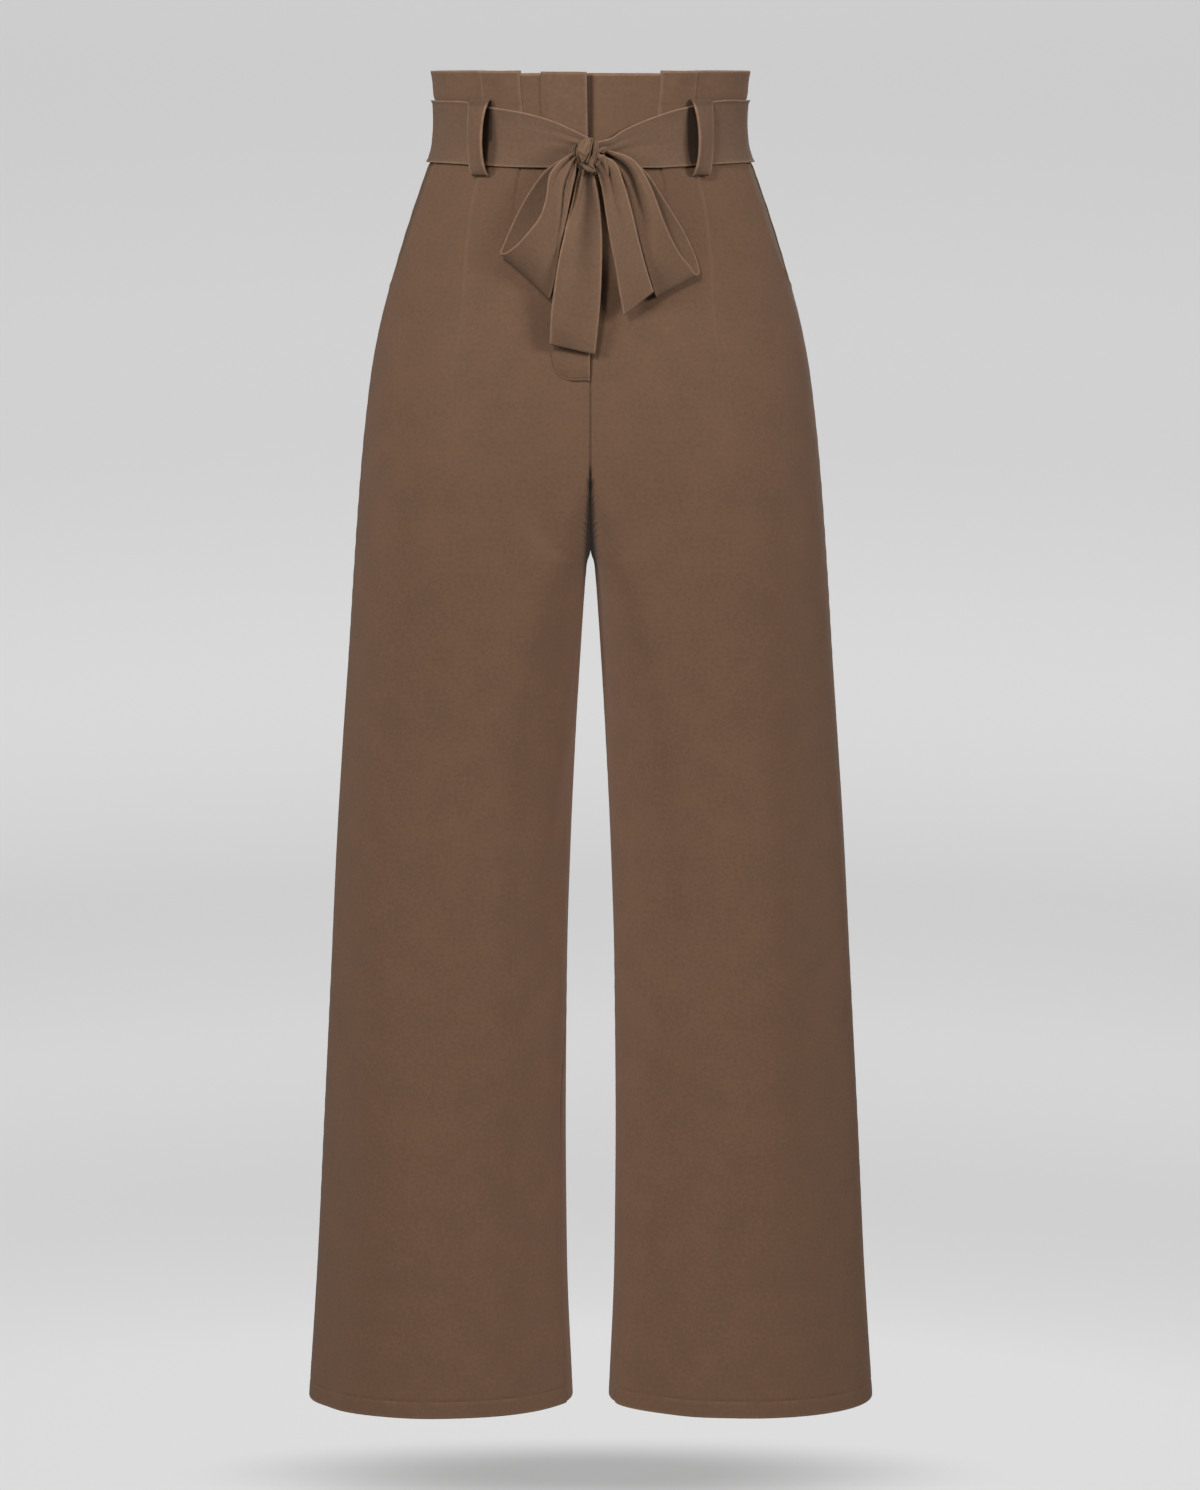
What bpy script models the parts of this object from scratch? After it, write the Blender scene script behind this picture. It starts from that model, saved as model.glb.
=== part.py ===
"""Paperbag waist trousers with a tied self-fabric belt, filled out as if they were worn.

Z is up and the wearer faces -Y. The origin is the centre of the waist, at the middle of the belt.
Left and right are the wearer's, so left is +X. Tables are in millimetres, and lengths elsewhere in metres.
"""

import functools
import math

import bmesh
import bpy
import numpy as np

MM = 0.001
SIDES = {"left": 1, "right": -1}
FACINGS = {"front": -1, "back": 1}

# Cloth walls, and the gaps between the pieces.
PANEL_WALL = 1.2 * MM
HEM_WALL = 2.0 * MM
BELT_WALL = 1.6 * MM
FLY_WALL = 1.0 * MM
POCKET_WALL = 1.0 * MM
CARRIER_WALL = 1.4 * MM
SEAM_GAP = 0.3 * MM

# The body: half sections from the side seam to the centre seam, and below the crotch to the inseam.
# Between the two crests a section runs straight, at its full depth.
BODY_COLUMNS = (
    "height",
    "half_width",
    "half_gap",
    "front_depth",
    "back_depth",
    "outer_crest",
    "inner_crest",
)
BODY = (
    (50, 126.4, 0, 87.4, 91.4, 0, 0),
    (37, 124.3, 0, 85.6, 89.6, 0, 0),
    (27, 123.4, 0, 84.3, 88.4, 0, 0),
    (22, 121.0, 0, 83.5, 86.0, 0, 0),
    (8, 120.4, 0, 81.8, 85.4, 0, 0),
    (-8, 121.4, 0, 81.6, 86.0, 0, 0),
    (-20, 124.4, 0, 82.4, 88.0, 0, 0),
    (-27, 128.4, 0, 83.9, 91.0, 0, 0),
    (-38, 132.2, 0, 87.2, 94.8, 2, 0),
    (-53, 137.5, 0, 90.6, 98.6, 4, 0),
    (-70, 143.2, 0, 93.4, 102.6, 8, 0),
    (-88, 148.9, 0, 96.2, 106.6, 14, 0),
    (-123, 159.0, 0, 101.0, 113.6, 30, 0),
    (-150, 166.0, 0, 104.0, 118.4, 44, 0),
    (-185, 172.8, 0, 106.8, 123.4, 62, 2),
    (-220, 177.3, 0, 108.2, 126.6, 76, 8),
    (-250, 180.5, 0, 108.6, 127.0, 85, 16),
    (-330, 186.8, 0, 106.6, 122.0, 97, 42),
    (-338, 187.3, 2.4, 106.3, 121.2, 98, 44),
    (-354, 188.4, 4.0, 105.6, 119.4, 98.5, 50),
    (-380, 190.0, 5.9, 104.2, 116.4, 99, 58),
    (-420, 192.5, 8.5, 102.0, 111.8, 101, 70),
    (-480, 196.6, 11.9, 99.6, 106.0, 104, 86),
    (-560, 201.8, 15.7, 97.4, 100.6, 109, 102),
    (-660, 206.9, 18.8, 96.0, 97.2, 113, 111),
    (-790, 213.6, 19.9, 95.2, 95.2, 116.7, 116.7),
    (-900, 219.2, 18.9, 95.4, 95.4, 119, 119),
    (-1011, 226.6, 14.4, 96.0, 96.0, 120.5, 120.5),
)
SECTION_ROUNDNESS = 2.12
CROTCH_ROUNDNESS = 2.5
CROTCH_ROUNDNESS_END = -560
CROTCH_HEIGHT = -330
CROTCH_DEPTH = 15
INSEAM_STRAIGHT_HEIGHT = -650
SEAM_BEND_HEIGHT = {"front": -250, "back": -200}
SECTION_STEPS = 48

# The panels' rows. The top row follows each layer's own height. Between the torso and the leg the rows
# are even at the side seam, and at the inner seam they follow the crotch curve.
HEM_HEIGHT = -1011
HEM_TURN_HEIGHT = -998
UPPER_ROWS = (37, 27, 22, 8, -8, -20, -21.5, -27, -38, -53, -70, -88, -102, -113, -123, -150, -185, -220)
CROTCH_ROWS = 7
LEG_ROWS = (-338, -354, -380, -420, -480, -560, -660, -790, -900, -996)
RAISED_TOP = 47.9
RECESSED_TOP = 45.6
RECESS_REACH = 90

# The panels' columns, as shares of the half section's length from the side seam. The four columns
# about the pleat's two folds are set from the pleat's own sizes.
COLUMNS = {
    "torso": (0, 0.11, 0.22, 0.33, None, None, None, None, None, 0.75, 0.83, 0.90, 0.95, 1),
    "crotch": (0, 0.10, 0.19, 0.28, 0.36, 0.43, 0.50, 0.56, 0.61, 0.66, 0.72, 0.79, 0.885, 1),
    "leg": (0, 0.08, 0.16, 0.24, 0.32, 0.40, 0.48, 0.56, 0.64, 0.71, 0.78, 0.85, 0.925, 1),
}
COLUMN_HEIGHTS = {"torso": -150, "crotch": -320, "leg": -560}
FORK_TOP = -250
FORK_BOTTOM = -420
FORK_COLUMNS = (5, 13)
HELD_COLUMN = 8

# Box pleats: three layers of the panel's own cloth, pressed flat, from the top edge to below the belt.
PLEAT_RAISE = 1.4 * MM
PLEAT_FOLD_RUN = 0.008
# The outer fold drifts toward the centre seam between two heights below the belt.
PLEAT_INNER_SHARE = 0.672
PLEAT_OUTER_SHARE = {("front", "left"): 0.496, ("front", "right"): 0.476}
PLEAT_OUTER_SHARE.update({("back", "left"): 0.48, ("back", "right"): 0.48})
PLEAT_DRIFT = 0.06
PLEAT_DRIFT_HEIGHTS = (-40, -165)
PLEAT_FULL_HEIGHT = -27
PLEAT_INNER_END = -88
PLEAT_OUTER_END = -185

# The slanted pocket mouth: how far it lies from the side seam along the cloth.
POCKET_MOUTH_COLUMNS = ("height", "from_side_seam")
POCKET_MOUTH = ((-21.5, 24), (-53, 27), (-80, 28), (-98, 26), (-112, 17), (-123, 0))
POCKET_MOUTH_SHARES = (0.035, 0.09)
POCKET_BOTTOM = -150

# The lapped fly, over the right front: height, and x of its left fold and of its stitched edge.
FLY = (
    (47.9, 2.8, 38.4),
    (37, 2.6, 38.4),
    (27, 2.4, 38.2),
    (22, 2.3, 38.0),
    (8, 2.1, 37.4),
    (-8, 1.8, 36.6),
    (-20, 1.6, 36.0),
    (-27, 1.5, 35.8),
    (-38, 1.3, 35.3),
    (-53, 1.0, 34.7),
    (-88, 0.6, 33.3),
    (-123, 0.3, 31.9),
    (-150, 0.2, 31.0),
    (-170, 0.2, 29.6),
    (-181, 0.2, 26.2),
    (-188, 0.2, 20.4),
    (-191, 0.2, 13.0),
)
FLY_STRIPS = 5

# The belt round the waist. Near the knot it is pinched and stands off the cloth.
BELT_LIFT = 1.8
BELT_TOP = 24.6
BELT_BOTTOM = -23.4
BELT_STRIPS = 4
BELT_FRONT_COLUMNS = ("x", "top", "bottom", "lift")
BELT_FRONT = {
    "right": (
        (0.8, -3.0, -26.0, 2.7),
        (14, 3.6, -26.4, 2.7),
        (31, 10.8, -26.4, 2.5),
        (52, 16.6, -26.2, 2.1),
        (77, 20.6, -25.2, 1.8),
        (101, 25.0, -23.9, 1.8),
        (118, 25.0, -23.4, 1.8),
    ),
    "left": (
        (0.8, -7.0, -25.0, 2.7),
        (15, -3.4, -26.0, 2.7),
        (25, 2.8, -26.4, 2.5),
        (45, 11.8, -26.6, 2.2),
        (71, 20.0, -25.6, 1.8),
        (104, 25.8, -23.8, 1.8),
        (118, 25.2, -23.4, 1.8),
    ),
}
BELT_END_X = 0.8
BELT_QUARTER_STATIONS = 16

# The belt carriers, which stand off the belt, most at the edge nearer the knot. Their path: height, the
# lift of the carrier's inner face off the panel at its two edges, and width.
CARRIER_PATH = (
    (25.6, 2.1, 2.1, 15.2),
    (25.4, 4.4, 3.8, 15.2),
    (22.4, 7.4, 5.0, 15.0),
    (16.0, 10.6, 6.0, 14.6),
    (6.0, 13.4, 6.8, 14.2),
    (-5.0, 14.6, 7.2, 13.8),
    (-16.0, 13.6, 7.2, 13.4),
    (-25.0, 10.6, 6.4, 13.0),
    (-30.6, 6.4, 4.6, 12.8),
    (-33.0, 3.4, 3.0, 12.6),
    (-33.6, 2.1, 2.1, 12.6),
)
CARRIER_X = {"front": 84, "back": 74}
CARRIER_STRIPS = 2

# The knot, a wrapped barrel in front of the belt.
KNOT_CENTRE = (-2.9, -96.8, -17.6)
KNOT_HALF_SIZE = (9.4, 9.2, 14.6)
KNOT_SEGMENTS = 22
KNOT_RINGS = 12
KNOT_SQUARENESS = 2.6
KNOT_WRAP_DEPTH = 0.07
KNOT_WRAP_TURNS = 3
KNOT_WRAP_SLANT = 0.9

# The bow's two loops. Each is one ribbon, from the knot along the back layer, round the fold at the
# loop's low end and back along the front layer. Points are x, y and z along its two edges.
RIBBON_STRIPS = 4
BOW_LOOP_STATIONS = 26
BOW_LOOPS = {
    "right": {
        "outer": (
            (-12.5, -92.5, -13.5),
            (-19.0, -92.3, -17.5),
            (-33.0, -92.4, -26.5),
            (-46.5, -93.4, -43.3),
            (-58.1, -94.6, -64.1),
            (-68.4, -97.0, -87.4),
            (-70.2, -99.3, -91.6),
            (-67.4, -102.6, -91.6),
            (-58.1, -108.0, -85.8),
            (-47.6, -111.6, -74.5),
            (-37.9, -112.2, -60.6),
            (-34.2, -110.6, -47.5),
            (-32.0, -107.2, -32.2),
            (-22.1, -103.0, -19.5),
            (-12.5, -100.4, -13.6),
        ),
        "inner": (
            (-12.5, -92.5, -21.5),
            (-14.0, -92.6, -29.5),
            (-16.0, -94.0, -46.0),
            (-19.0, -97.6, -70.0),
            (-23.6, -101.2, -98.0),
            (-29.2, -104.6, -123.4),
            (-30.8, -106.6, -127.4),
            (-30.4, -108.8, -124.6),
            (-28.4, -109.8, -114.6),
            (-27.0, -110.2, -97.0),
            (-26.0, -110.2, -80.0),
            (-24.4, -109.0, -62.2),
            (-21.6, -106.2, -41.0),
            (-16.2, -102.6, -27.6),
            (-12.5, -100.4, -22.0),
        ),
    },
    "left": {
        "outer": (
            (6.5, -92.0, -11.5),
            (16.5, -91.8, -13.0),
            (30.5, -92.4, -18.7),
            (45.7, -93.0, -32.2),
            (54.5, -92.8, -45.7),
            (64.4, -92.2, -61.5),
            (74.2, -91.6, -78.2),
            (83.0, -91.6, -98.7),
            (85.0, -93.0, -107.6),
            (82.5, -96.2, -108.4),
            (77.0, -99.6, -101.5),
            (70.2, -103.0, -93.3),
            (63.2, -106.4, -80.9),
            (56.3, -108.6, -65.0),
            (49.5, -109.0, -46.4),
            (42.0, -107.6, -30.7),
            (31.9, -104.6, -18.4),
            (18.8, -99.8, -13.6),
            (6.5, -98.0, -12.0),
        ),
        "inner": (
            (6.5, -92.0, -20.0),
            (13.0, -92.0, -26.5),
            (20.0, -93.2, -38.0),
            (27.0, -95.6, -55.0),
            (33.0, -98.2, -73.0),
            (39.0, -100.6, -92.0),
            (45.0, -102.6, -110.0),
            (49.4, -103.8, -122.8),
            (50.8, -105.6, -126.2),
            (49.6, -107.4, -123.4),
            (46.0, -108.2, -112.0),
            (41.0, -108.4, -95.0),
            (36.0, -108.0, -77.0),
            (31.0, -106.8, -60.0),
            (26.0, -105.0, -45.0),
            (20.0, -102.4, -33.0),
            (15.0, -100.2, -27.0),
            (11.0, -98.8, -23.5),
            (6.5, -98.0, -21.0),
        ),
    },
}

# The belt's two hanging ends, from the knot down. Points are x, y and z along their two edges.
TAIL_STATIONS = 12
TAILS = {
    "right": {
        "outer": (
            (-5.4, -98.4, -32.5),
            (-10.5, -104.2, -53.9),
            (-16.3, -109.2, -66.1),
            (-20.5, -112.6, -79.9),
            (-24.4, -114.6, -95.2),
            (-27.5, -115.4, -114.5),
            (-30.6, -114.6, -140.7),
            (-31.6, -112.4, -162.0),
        ),
        "inner": (
            (1.2, -98.8, -32.2),
            (7.3, -103.6, -52.0),
            (8.7, -106.4, -67.0),
            (9.2, -109.0, -84.0),
            (9.0, -110.8, -100.0),
            (8.0, -112.2, -125.3),
            (5.7, -112.4, -151.6),
            (3.7, -111.4, -170.0),
        ),
    },
    "left": {
        "outer": (
            (5.8, -102.8, -14.5),
            (19.6, -106.4, -22.0),
            (26.4, -110.0, -39.0),
            (31.4, -112.2, -56.0),
            (37.7, -113.8, -82.0),
            (43.5, -114.0, -103.6),
            (49.0, -113.0, -121.4),
        ),
        "inner": (
            (4.6, -102.8, -25.5),
            (9.2, -106.2, -44.0),
            (11.6, -108.4, -60.0),
            (15.0, -110.8, -80.0),
            (19.6, -112.2, -104.0),
            (22.6, -112.4, -123.3),
            (26.0, -111.6, -139.9),
        ),
    },
}

# Colours of the cloth, linear red, green and blue.
CLOTH_COLOUR = (0.165, 0.095, 0.058)
CLOTH_ROUGHNESS = 0.85


def smooth_curve(at, knots, values):
    """The value at a place, on a curve through the knots that never overshoots them."""
    slopes = np.diff(values) / np.diff(knots)
    before, after = slopes[:-1], slopes[1:]
    together = before * after > 0
    mean = np.where(together, 2 * before * after / np.where(together, before + after, 1), 0)
    tangents = np.concatenate([slopes[:1], mean, slopes[-1:]])
    place = int(np.clip(np.searchsorted(knots, at) - 1, 0, len(slopes) - 1))
    span = knots[place + 1] - knots[place]
    t = np.clip((at - knots[place]) / span, 0, 1)
    rise = values[place + 1] - values[place]
    start, end = tangents[place] * span, tangents[place + 1] * span
    return values[place] + start * t + (3 * rise - 2 * start - end) * t**2 + (start + end - 2 * rise) * t**3


def read_table(rows, columns, column, at):
    """One column of a table, read smoothly at a value of its first column."""
    table = np.array(sorted(rows), float)
    return smooth_curve(at, table[:, 0], table[:, columns.index(column)])


def ease(at, start, end):
    """0 at start, 1 at end and smooth between them."""
    t = np.clip((at - start) / (end - start), 0, 1)
    return float(t * t * (3 - 2 * t))


def seam_depth(height, facing, depth):
    """How far back the centre seam or inseam lies: down the panel, along the crotch, then down the leg."""
    if height < CROTCH_HEIGHT:
        return CROTCH_DEPTH * (1 - ease(height, CROTCH_HEIGHT, INSEAM_STRAIGHT_HEIGHT))
    bend = SEAM_BEND_HEIGHT[facing]
    along = np.clip((bend - height) / (bend - CROTCH_HEIGHT), 0, 1)
    return depth + (CROTCH_DEPTH - depth) * (1 - math.sqrt(1 - along**2))


@functools.lru_cache(maxsize=None)
def half_section(height, facing):
    """Points of the left half section and their distances along it, from the side seam to the inner seam."""
    values = {name: read_table(BODY, BODY_COLUMNS, name, height) for name in BODY_COLUMNS[1:]}
    depth = values[facing + "_depth"] * FACINGS[facing]
    seam = seam_depth(height, facing, depth)
    turn = np.linspace(0, math.pi / 2, SECTION_STEPS)
    outer_power = 2 / SECTION_ROUNDNESS
    above, below = SEAM_BEND_HEIGHT["back"], CROTCH_ROUNDNESS_END
    crotch_share = ease(height, above, CROTCH_HEIGHT) * ease(height, below, CROTCH_HEIGHT)
    inner_power = 2 / (SECTION_ROUNDNESS + (CROTCH_ROUNDNESS - SECTION_ROUNDNESS) * crotch_share)
    outer, inner = values["outer_crest"], values["inner_crest"]
    outer_x = outer + (values["half_width"] - outer) * np.cos(turn) ** outer_power
    outer_y = depth * np.sin(turn) ** outer_power
    inner_x = inner - (inner - values["half_gap"]) * np.sin(turn) ** inner_power
    inner_y = seam + (depth - seam) * np.cos(turn) ** inner_power
    points = np.column_stack([np.append(outer_x, inner_x), np.append(outer_y, inner_y)]) * MM
    lengths = np.append(0, np.cumsum(np.linalg.norm(np.diff(points, axis=0), axis=1)))
    return points, lengths


def skin_point(height, share, facing, side):
    """The point of the body at a height, a share of the way from the side seam to the inner seam."""
    points, lengths = half_section(float(height), facing)
    at = share * lengths[-1]
    x, y = (np.interp(at, lengths, points[:, axis]) for axis in (0, 1))
    if share == 0:
        y = FACINGS[facing] * SEAM_GAP / 2
    if share == 1 and height <= CROTCH_HEIGHT:
        y += FACINGS[facing] * SEAM_GAP / 2
    return np.array([SIDES[side] * max(x, SEAM_GAP / 2), y, height * MM])


def share_at(height, x, facing):
    """The share of the way from the side seam at which the body is x from the middle."""
    points, lengths = half_section(float(height), facing)
    return float(np.interp(-x * MM, -points[:, 0], lengths)) / lengths[-1]


def share_of_length(height, length, facing):
    return length * MM / half_section(float(height), facing)[1][-1]


def unit(vectors):
    return vectors / np.linalg.norm(vectors, axis=-1, keepdims=True)


def skin_grid(heights, shares, facing, side):
    """A grid of points on the body, from the top down and from the side seam inwards."""
    rows = zip(heights, shares)
    return np.array([[skin_point(*place, facing, side) for place in zip(*row)] for row in rows])


def outward_normals(grid, facing, side):
    """The way out of the cloth at each point of such a grid."""
    normals = np.cross(np.gradient(grid, axis=1), np.gradient(grid, axis=0))
    return unit(normals * -FACINGS[facing] * SIDES[side])


def level_normals(grid, facing, side):
    """The same, kept level."""
    normals = np.cross(np.gradient(grid, axis=1), (0, 0, -1))
    return unit(normals * -FACINGS[facing] * SIDES[side])


def keep_to_seam(normals, side, crotch_row):
    """Turns the edge columns' normals, so that neither wall leans over its seam."""
    normals[:, 0, 1] = 0
    torso = normals[: crotch_row + 1, -1]
    torso[:, 0] = SIDES[side] * np.minimum(SIDES[side] * torso[:, 0], 0)
    normals[crotch_row:, -1, 1] = 0
    normals[:] = unit(normals)


def make_object(name, mesh_bm, collection):
    """An object of the shape, facing out, with the cloth's material."""
    bmesh.ops.recalc_face_normals(mesh_bm, faces=mesh_bm.faces)
    mesh = bpy.data.meshes.new(name)
    mesh_bm.to_mesh(mesh)
    mesh_bm.free()
    mesh.materials.append(cloth_material(name))
    mesh.shade_smooth()
    mesh.set_sharp_from_angle(angle=math.radians(40))
    made = bpy.data.objects.new(name, mesh)
    collection.objects.link(made)
    return made


def cloth_material(name):
    material = bpy.data.materials.new(name + "_cloth")
    material.use_nodes = True
    shader = material.node_tree.nodes["Principled BSDF"]
    shader.inputs["Base Color"].default_value = (*CLOTH_COLOUR, 1)
    shader.inputs["Roughness"].default_value = CLOTH_ROUGHNESS
    shader.inputs["Metallic"].default_value = 0
    return material


def cloth_wall(name, outer, inner, collection):
    """A closed wall of cloth between two grids of points, rows by columns."""
    rows, columns = outer.shape[:2]
    shape = bmesh.new()
    faces_of_grid = []
    for grid in (outer, inner):
        points = [[shape.verts.new(point) for point in row] for row in grid]
        faces_of_grid.append(points)
        for row in range(rows - 1):
            for column in range(columns - 1):
                near, far = points[row], points[row + 1]
                shape.faces.new((near[column], near[column + 1], far[column + 1], far[column]))
    rim = [(0, column) for column in range(columns)]
    rim += [(row, columns - 1) for row in range(1, rows)]
    rim += [(rows - 1, column) for column in range(columns - 2, -1, -1)]
    rim += [(row, 0) for row in range(rows - 2, 0, -1)]
    out_points, in_points = faces_of_grid
    for (row, column), (next_row, next_column) in zip(rim, rim[1:] + rim[:1]):
        shape.faces.new(
            (
                out_points[row][column],
                in_points[row][column],
                in_points[next_row][next_column],
                out_points[next_row][next_column],
            )
        )
    return make_object(name, shape, collection)


def panel_rows():
    """The heights of the panels' rows at the inner seam."""
    turns = [math.pi / 2 * step / CROTCH_ROWS for step in range(CROTCH_ROWS + 1)]
    crotch = [FORK_TOP - (FORK_TOP - CROTCH_HEIGHT) * math.sin(turn) for turn in turns]
    return [RAISED_TOP, *UPPER_ROWS, *crotch, *LEG_ROWS, HEM_TURN_HEIGHT, HEM_HEIGHT]


def panel_heights():
    """The height of every point of a panel, rows by columns."""
    at_seam = np.array(panel_rows(), float)
    at_side = at_seam.copy()
    fork = (at_seam <= FORK_TOP) & (at_seam >= FORK_BOTTOM)
    at_side[fork] = np.linspace(FORK_TOP, FORK_BOTTOM, fork.sum())
    toward_seam = [ease(column, *FORK_COLUMNS) for column in range(len(COLUMNS["leg"]))]
    return at_side[:, None] + (at_seam - at_side)[:, None] * toward_seam


def mouth_share(height):
    """Where the pocket mouth cuts the front panel, as a share of the half section."""
    if not POCKET_MOUTH[-1][0] < height <= POCKET_MOUTH[0][0]:
        return 0
    length = read_table(POCKET_MOUTH, POCKET_MOUTH_COLUMNS, "from_side_seam", height)
    return share_of_length(height, length, "front")


def spread_over_fork(shares, height, facing):
    """Keeps the outer columns where they are while the crotch curve lengthens the section."""
    top, here, bottom = (half_section(float(at), facing)[1][-1] for at in (FORK_TOP, height, FORK_BOTTOM))
    even = top + (bottom - top) * ease(height, FORK_TOP, FORK_BOTTOM)
    held = shares * even / here
    fork = held[HELD_COLUMN]
    inner = (shares[HELD_COLUMN:] - shares[HELD_COLUMN]) / (1 - shares[HELD_COLUMN])
    return np.append(held[:HELD_COLUMN], fork + (1 - fork) * inner)


def panel_shares(height, facing, side):
    """The panel's columns at a height."""
    outer = PLEAT_OUTER_SHARE[facing, side] + PLEAT_DRIFT * ease(height, *PLEAT_DRIFT_HEIGHTS)
    inner, run = PLEAT_INNER_SHARE, PLEAT_FOLD_RUN
    folds = (outer - run, outer, (outer + inner) / 2, inner, inner + run)
    torso = np.array(COLUMNS["torso"][:4] + folds + COLUMNS["torso"][9:])
    crotch, leg = np.array(COLUMNS["crotch"]), np.array(COLUMNS["leg"])
    heights = COLUMN_HEIGHTS
    shares = torso + (crotch - torso) * ease(height, heights["torso"], heights["crotch"])
    shares = shares + (leg - shares) * ease(height, heights["crotch"], heights["leg"])
    if FORK_BOTTOM < height < FORK_TOP:
        shares = spread_over_fork(shares, height, facing)
    mouth = mouth_share(height)
    if facing == "front" and mouth:
        shares[0] = mouth
        shares[1:3] = np.maximum(shares[1:3], np.add(mouth, POCKET_MOUTH_SHARES))
    return shares


def pleat_raise(height):
    """How far each column of a panel stands out for its pleat's folded layers."""
    outer = 1 - ease(height, PLEAT_FULL_HEIGHT, PLEAT_OUTER_END)
    inner = 1 - ease(height, PLEAT_FULL_HEIGHT, PLEAT_INNER_END)
    raised = np.zeros(len(COLUMNS["leg"]))
    raised[5:8] = outer, (outer + inner) / 2, inner
    return raised * PLEAT_RAISE


def make_panel(facing, side, collection):
    """A whole front or back leg, from the paperbag edge to the hem, with its pleat."""
    rows, heights = panel_rows(), panel_heights()
    columns = range(heights.shape[1])
    shares = [[panel_shares(row[column], facing, side)[column] for column in columns] for row in heights]
    raised = np.array([pleat_raise(height) for height in rows])
    top_x = [abs(skin_point(RAISED_TOP, share, facing, side)[0]) for share in shares[0]]
    recessed = (np.array(top_x) < RECESS_REACH * MM) & (raised[0] == 0)
    heights[0, recessed] = RECESSED_TOP
    grid = skin_grid(heights, shares, facing, side)
    normals = outward_normals(grid, facing, side)
    keep_to_seam(normals, side, rows.index(CROTCH_HEIGHT))
    walls = np.where(heights <= HEM_TURN_HEIGHT, HEM_WALL, PANEL_WALL)
    outer = grid + normals * raised[..., None]
    inner = grid - normals * walls[..., None]
    return cloth_wall(f"{facing}_{side}", outer, inner, collection)


def make_pocket(side, collection):
    """The side piece behind the pocket mouth, one layer in from the front panel."""
    rows = [height for height in panel_rows() if POCKET_BOTTOM <= height <= POCKET_MOUTH[0][0]]
    shares = []
    for height in rows:
        mouth, next_column = panel_shares(height, "front", side)[:2]
        edge = max(mouth, share_of_length(height, 1, "front"))
        shares.append([0, edge / 2, edge, next_column])
    heights = np.array([[height] * 4 for height in rows], float)
    grid = skin_grid(heights, shares, "front", side)
    normals = outward_normals(grid, "front", side)
    normals[:, 0, 1] = 0
    normals = unit(normals)
    outer = grid - normals * (PANEL_WALL + SEAM_GAP)
    return cloth_wall(f"pocket_{side}", outer, outer - normals * POCKET_WALL, collection)


def make_fly(collection):
    """The lapped fly, lying on the right front from the top edge to its rounded foot."""
    heights, shares = [], []
    for height, fold, edge in FLY:
        across = np.linspace(edge, fold, FLY_STRIPS + 1)
        heights.append([height] * len(across))
        shares.append([share_at(height, x, "front") for x in across])
    grid = skin_grid(heights, shares, "front", "right")
    normals = outward_normals(grid, "front", "right")
    inner = grid + normals * SEAM_GAP
    return cloth_wall("fly_placket", inner + normals * FLY_WALL, inner, collection)


def belt_quarter(facing, side):
    """The belt's inner face and normals over a quarter of the waist, from the side seam to the centre."""
    centre = share_at(0, BELT_END_X, facing) if facing == "front" else 1
    shares = np.linspace(0, centre, BELT_QUARTER_STATIONS + 1)
    heights, lifts = [], []
    for share in shares:
        top, bottom, lift = BELT_TOP, BELT_BOTTOM, BELT_LIFT
        if facing == "front":
            x = abs(skin_point(0, share, facing, side)[0]) / MM
            names = BELT_FRONT_COLUMNS
            top, bottom, lift = (read_table(BELT_FRONT[side], names, name, x) for name in names[1:])
        heights.append(np.linspace(top, bottom, BELT_STRIPS + 1))
        lifts.append(lift * MM)
    grid = skin_grid(np.transpose(heights), np.tile(shares, (BELT_STRIPS + 1, 1)), facing, side)
    normals = level_normals(grid, facing, side)
    return grid + normals * np.array(lifts)[None, :, None], normals


def make_belt(collection):
    """The belt, from behind the knot on the right, round the back, to behind the knot on the left."""
    inner, normals = [], []
    for facing, side, kept in (
        ("front", "right", slice(None, 0, -1)),
        ("back", "right", slice(None, -1)),
        ("back", "left", slice(None, None, -1)),
        ("front", "left", slice(1, None)),
    ):
        quarter, quarter_normals = belt_quarter(facing, side)
        inner.append(quarter[:, kept])
        normals.append(quarter_normals[:, kept])
    inner, normals = np.concatenate(inner, axis=1), np.concatenate(normals, axis=1)
    return cloth_wall("belt", inner + normals * BELT_WALL, inner, collection)


def make_carrier(facing, side, collection):
    """A belt carrier: a narrow strip over the belt, sewn to the panel above and below it."""
    heights, shares, lifts = [], [], []
    for height, near_lift, far_lift, width in CARRIER_PATH:
        across = CARRIER_X[facing] + width * np.linspace(0.5, -0.5, CARRIER_STRIPS + 1)
        heights.append([height] * len(across))
        shares.append([share_at(height, x, facing) for x in across])
        lifts.append(np.linspace(far_lift, near_lift, CARRIER_STRIPS + 1) * MM)
    grid = skin_grid(heights, shares, facing, side)
    inner = grid + level_normals(grid, facing, side) * np.array(lifts)[..., None]
    outer = inner + outward_normals(inner, facing, side) * CARRIER_WALL
    return cloth_wall(f"belt_carrier_{facing}_{side}", outer, inner, collection)


def smooth_path(points, stations):
    """Evenly spaced points on a smooth curve through the given ones."""
    points = np.array(points, float) * MM
    along = np.append(0, np.cumsum(np.linalg.norm(np.diff(points, axis=0), axis=1)))
    places = np.linspace(0, along[-1], stations)
    return np.array([[smooth_curve(at, along, points[:, axis]) for axis in range(3)] for at in places])


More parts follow.
